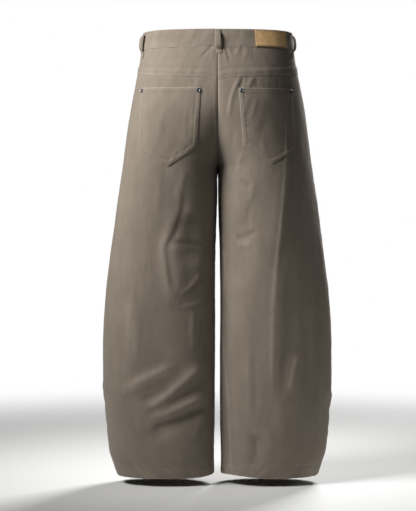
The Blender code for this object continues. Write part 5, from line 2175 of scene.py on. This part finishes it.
@dataclass(frozen=True)
class Turned:
    """A turned metal fitting, from a profile of (radius, height) points."""

    profile: tuple[tuple[float, float], ...]
    steps: int = 40

    def build(self, name: str, material: bpy.types.Material, point: Array,
              outward: Array) -> bpy.types.Object:
        """Turn the profile and stand it on a point.

        Args:
            name: The object's name.
            material: Its material.
            point: Where it stands.
            outward: Its axis.

        Returns:
            The object.
        """
        rim = self.profile[1:]
        top, low = (0.0, 0.0, self.profile[0][1]), (0.0, 0.0, self.profile[-1][1])
        points = [top]
        for radius, height in rim:
            for step in range(self.steps):
                angle = 2.0 * math.pi * step / self.steps
                points.append((radius * math.cos(angle), radius * math.sin(angle), height))
        points.append(low)
        faces = []
        for step in range(self.steps):
            after = (step + 1) % self.steps
            faces.append((0, 1 + step, 1 + after))
            for ring in range(len(rim) - 1):
                base = 1 + ring * self.steps
                faces.append((base + step, base + self.steps + step,
                              base + self.steps + after, base + after))
            last = 1 + (len(rim) - 1) * self.steps
            faces.append((last + after, last + step, len(points) - 1))
        local = np.array(points)
        axes = np.array(Vector(outward).to_track_quat("Z", "Y").to_matrix())
        made = MeshKit.piece(name, local @ axes.T + np.asarray(point), faces, material, 50.0)
        tall = local[:, 2].max()
        MeshKit.carry(made, "wear", np.clip((local[:, 2] - 0.7 * tall) / (0.3 * tall), 0.0, 1.0))
        return made


@dataclass
class LeatherPatch:
    """The bare leather patch on the waistband."""

    from_x: float = 0.084
    to_x: float = 0.1525
    edge: float = 0.0015
    band_width: float = 0.040
    under: float = 0.0018
    wall: float = 0.0014

    def build(self, tailor: Tailor) -> bpy.types.Object:
        """Make the patch and its stitching.

        Args:
            tailor: The shared cloth and materials.

        Returns:
            The patch.
        """
        cloth, form = tailor.cloth, tailor.cloth.form
        length, tall = self.to_x - self.from_x, self.band_width - 2.0 * self.edge
        x = self.from_x + graded(length, 0.0015, 0.0004, (0.0, length), 0.0014)[None, :] * length
        rise = self.edge + graded(tall, 0.0015, 0.0004, (0.0, tall), 0.0014)[:, None] * tall
        turn = form.turn_at_x(Side.RIGHT, Face.BACK, x, form.waist_side_height) + 0.0 * rise
        height = form.waist_seam(Side.RIGHT, turn) + rise
        edges = {"left": x - self.from_x + 0.0 * rise, "right": self.to_x - x + 0.0 * rise,
                 "low": rise - self.edge + 0.0 * x, "high": self.band_width - self.edge - rise + 0.0 * x}
        nearest = np.minimum(np.minimum(edges["left"], edges["right"]),
                             np.minimum(edges["low"], edges["high"]))
        lift = cloth.rise(Side.RIGHT, Face.BACK, turn, height)
        sewn = -0.0007 * bump_at(nearest, 0.0, 0.0007) - 0.0003 * bump_at(nearest, 0.0026, 0.0008)
        sewn += 0.0002 * SoftNoise(101)(x / 0.012, rise / 0.010)
        base = lift + self.under
        wear = np.clip(bump_at(nearest, 0.0, 0.0011) + 0.35 * bump_at(nearest, 0.0026, 0.0008), 0.0, 1.0)
        grid = ClothGrid(cloth.place(Side.RIGHT, turn, height, base + self.wall + sewn),
                         cloth.place(Side.RIGHT, turn, height, base),
                         np.stack([x + 0.0 * rise, rise + 0.0 * x, 0.0 * turn], axis=-1),
                         wear, 0.0 * wear)
        made = MeshKit.cloth("leather_patch_tan", grid, tailor.wardrobe.leather)
        sewn_rows = Stitching("leather_patch_stitching", pitch=0.0030, length=0.0022)
        inset = 0.0026
        within = (edges["low"] > inset) & (edges["high"] > inset)
        between = (edges["left"] > inset) & (edges["right"] > inset)
        for name in ("left", "right"):
            sewn_rows.row(grid.trace(edges[name], inset, True, within))
        for name in ("low", "high"):
            sewn_rows.row(grid.trace(edges[name], inset, False, between))
        extras = tailor.sewn(sewn_rows)
        tailor.hand_over(made, "leather_patch", "leather")
        tailor.report(made, extras)
        return made


@dataclass
class FlyShield:
    """The shield behind the closed fly."""

    left: float = 0.018
    right: float = 0.026
    foot_height: float = 0.790
    top_height: float = 0.929
    behind: float = 0.0032
    wall: float = 0.0015

    def build(self, tailor: Tailor) -> bpy.types.Object:
        """Make the shield.

        Args:
            tailor: The shared cloth and materials.

        Returns:
            The shield.
        """
        cloth, form = tailor.cloth, tailor.cloth.form
        height = self.foot_height + (self.top_height - self.foot_height) * np.linspace(0, 1, 60)[:, None]
        faces = []
        for back in (self.behind, self.behind + self.wall):
            halves = []
            for side, span in ((Side.LEFT, np.linspace(self.left, 0.0, 10)),
                               (Side.RIGHT, np.linspace(0.0, self.right, 14)[1:])):
                turn = form.turn_at_x(side, Face.FRONT, span[None, :] + 0.0 * height,
                                      height + 0.0 * span[None, :])
                tall = height + 0.0 * span[None, :]
                point = cloth.place(side, turn, tall, form.fold_rise(side, turn, tall))
                halves.append(point - np.array([0.0, back, 0.0]))
            faces.append(np.concatenate(halves, axis=1))
        lie = np.stack([faces[0][..., 0], faces[0][..., 2], 0.0 * faces[0][..., 0]], axis=-1)
        plain = 0.0 * lie[..., 0]
        grid = ClothGrid(faces[0], faces[1], lie, plain, plain)
        made = MeshKit.cloth("fly_shield_cloth", grid, tailor.wardrobe.twill)
        tailor.hand_over(made, "fly_shield", "twill")
        tailor.report(made)
        return made


@dataclass
class WaistButton:
    """The waist button on the lapped end of the waistband."""

    radius: float = 0.0085
    tall: float = 0.0040
    band_width: float = 0.040
    seat: float = 0.0027

    def build(self, tailor: Tailor) -> bpy.types.Object:
        """Make the button.

        Args:
            tailor: The shared cloth and materials.

        Returns:
            The button.
        """
        cloth, form = tailor.cloth, tailor.cloth.form
        radius, tall = self.radius, self.tall
        profile = ((0.0, 0.70 * tall), (0.20 * radius, 0.74 * tall), (0.30 * radius, 0.64 * tall),
                   (0.62 * radius, 0.68 * tall), (0.74 * radius, 0.88 * tall), (0.86 * radius, tall),
                   (0.95 * radius, 0.94 * tall), (radius, 0.76 * tall), (0.95 * radius, 0.52 * tall),
                   (0.44 * radius, 0.36 * tall), (0.40 * radius, 0.0))
        turn = np.array(-0.5 * math.pi)
        height = form.waist_seam(Side.LEFT, turn) + 0.5 * self.band_width
        made = Turned(profile, 56).build(
            "waist_button_metal", tailor.wardrobe.gunmetal,
            cloth.place(Side.LEFT, turn, height, np.array(self.seat)),
            form.normal(Side.LEFT, turn, height))
        tailor.hand_over(made, "waist_button", "gunmetal")
        tailor.report(made)
        return made


@dataclass
class Studio:
    """The pale floor, the soft lights and the camera."""

    floor_z: float = -0.985
    floor_radius: float = 2.2
    camera_at: Colour = (-0.021375, -4.5, -0.307)
    camera_to: Colour = (-0.021375, 0.0, -0.47425)
    lens: float = 140.9
    sensor: float = 36.0

    def floor(self) -> bpy.types.Object:
        """Make the floor: a disc that fades out."""
        steps = 96
        points = [(0.0, 0.0, 0.0)]
        for step in range(steps):
            angle = 2.0 * math.pi * step / steps
            points.append((self.floor_radius * math.cos(angle), self.floor_radius * math.sin(angle), 0.0))
        faces = [(0, 1 + step, 1 + (step + 1) % steps) for step in range(steps)]
        made = MeshKit.piece("studio_floor", np.array(points), faces, FloorFinish().material())
        made.location = (0.0, 0.0, self.floor_z)
        return made

    @staticmethod
    def lamp(name: str, at: Colour, to: Colour, size: float, power: float,
             spread: float = math.pi) -> None:
        """Hang a soft square lamp.

        Args:
            name: Its name.
            at: Where it hangs.
            to: What it points at.
            size: Its side.
            power: Its power in watts.
            spread: How wide it shines, in radians.
        """
        light = bpy.data.lights.new(name, "AREA")
        light.size = size
        light.energy = power
        light.spread = spread
        lamp = bpy.data.objects.new(name, light)
        lamp.location = at
        lamp.rotation_euler = (Vector(to) - Vector(at)).to_track_quat("-Z", "Y").to_euler()
        bpy.context.scene.collection.objects.link(lamp)

    def lights(self) -> None:
        """Hang the lamps, and fill the room with a dim even light before a pale backdrop."""
        self.lamp("key_lamp", (-1.25, -0.88, 0.72), (-0.05, 0.0, -0.13), 0.9, 11.8, 1.30)
        self.lamp("rim_lamp", (2.0, 0.25, -0.1), (0.25, 0.0, -0.6), 0.6, 0.35, 0.9)
        self.lamp("front_lamp", (0.9, 2.0, 0.9), (0.0, 0.0, -0.4), 1.0, 16.0, 1.2)
        world = bpy.data.worlds.new("studio_room")
        bpy.context.scene.world = world
        graph = ShaderGraph(world)
        seen = graph.node("ShaderNodeLightPath", {}, {}, "Is Camera Ray")
        backdrop = graph.mixed(seen, (0.050, 0.050, 0.050), (1.0, 1.0, 1.0))
        light = graph.node("ShaderNodeBackground", {}, {"Color": backdrop, "Strength": 1.0})
        graph.node("ShaderNodeOutputWorld", {}, {"Surface": light})

    def camera(self) -> None:
        """Set the camera up at the photograph's view."""
        data = bpy.data.cameras.new("photo_camera")
        data.lens = self.lens
        data.sensor_width = self.sensor
        camera = bpy.data.objects.new("photo_camera", data)
        camera.location = self.camera_at
        aim = Vector(self.camera_to) - Vector(self.camera_at)
        camera.rotation_euler = aim.to_track_quat("-Z", "Y").to_euler()
        bpy.context.scene.collection.objects.link(camera)
        bpy.context.scene.camera = camera
        bpy.context.scene.view_settings.view_transform = "Standard"

    def build(self) -> None:
        """Make the floor, the lights and the camera."""
        self.floor()
        self.lights()
        self.camera()
        LOG.info("studio: floor, three lamps, camera")


def main() -> None:
    """Dress every piece of the trousers in order, then set up the studio."""
    logging.basicConfig(level=logging.INFO, format="%(name)s %(message)s")
    wardrobe = Wardrobe(TwillFinish().material(), ThreadFinish().material(),
                        LeatherFinish().material(), GunmetalFinish().material())
    tailor = Tailor(ClothSurface(), wardrobe)
    pieces = [
        LegPanel(Side.LEFT, Face.BACK, (0.386, 0.943), 0.319),
        LegPanel(Side.RIGHT, Face.BACK, (0.372, 0.952), 0.266),
        LegPanel(Side.LEFT, Face.FRONT, (0.364, 0.982), 0.303),
        LegPanel(Side.RIGHT, Face.FRONT, (0.417, 0.992), 0.342),
        Yoke(Side.LEFT, (0.266, 0.078), 0.0161),
        Yoke(Side.RIGHT, (0.254, 0.078), 0.0154),
        Waistband(),
        BeltLoop("belt_loop_back", LoopPlace(Side.RIGHT, Face.BACK, 0.000, 0.0135)),
        BeltLoop("belt_loop_side_left", LoopPlace(Side.LEFT, Face.BACK, 0.1625, 0.0180)),
        BeltLoop("belt_loop_side_right", LoopPlace(Side.RIGHT, Face.BACK, 0.1625, 0.0165)),
        BeltLoop("belt_loop_front_left", LoopPlace(Side.LEFT, Face.FRONT, 0.085, 0.0140)),
        BeltLoop("belt_loop_front_right", LoopPlace(Side.RIGHT, Face.FRONT, 0.085, 0.0140)),
        BackPocket(Side.LEFT, PocketCut(0.8635, 0.146, 0.133, 0.129, 0.172, 0.036, 0.009),
                   (0.146, 0.172), 0.0217, (0.0112,)),
        BackPocket(Side.RIGHT, PocketCut(0.8625, 0.142, 0.131, 0.126, 0.165, 0.045, 0.010),
                   (0.142, 0.165), 0.0206, (0.0045, 0.0130)),
        LeatherPatch(),
        FlyShield(),
        WaistButton(),
    ]
    for piece in pieces:
        piece.build(tailor)
    Studio().build()


if __name__ == "__main__":
    main()
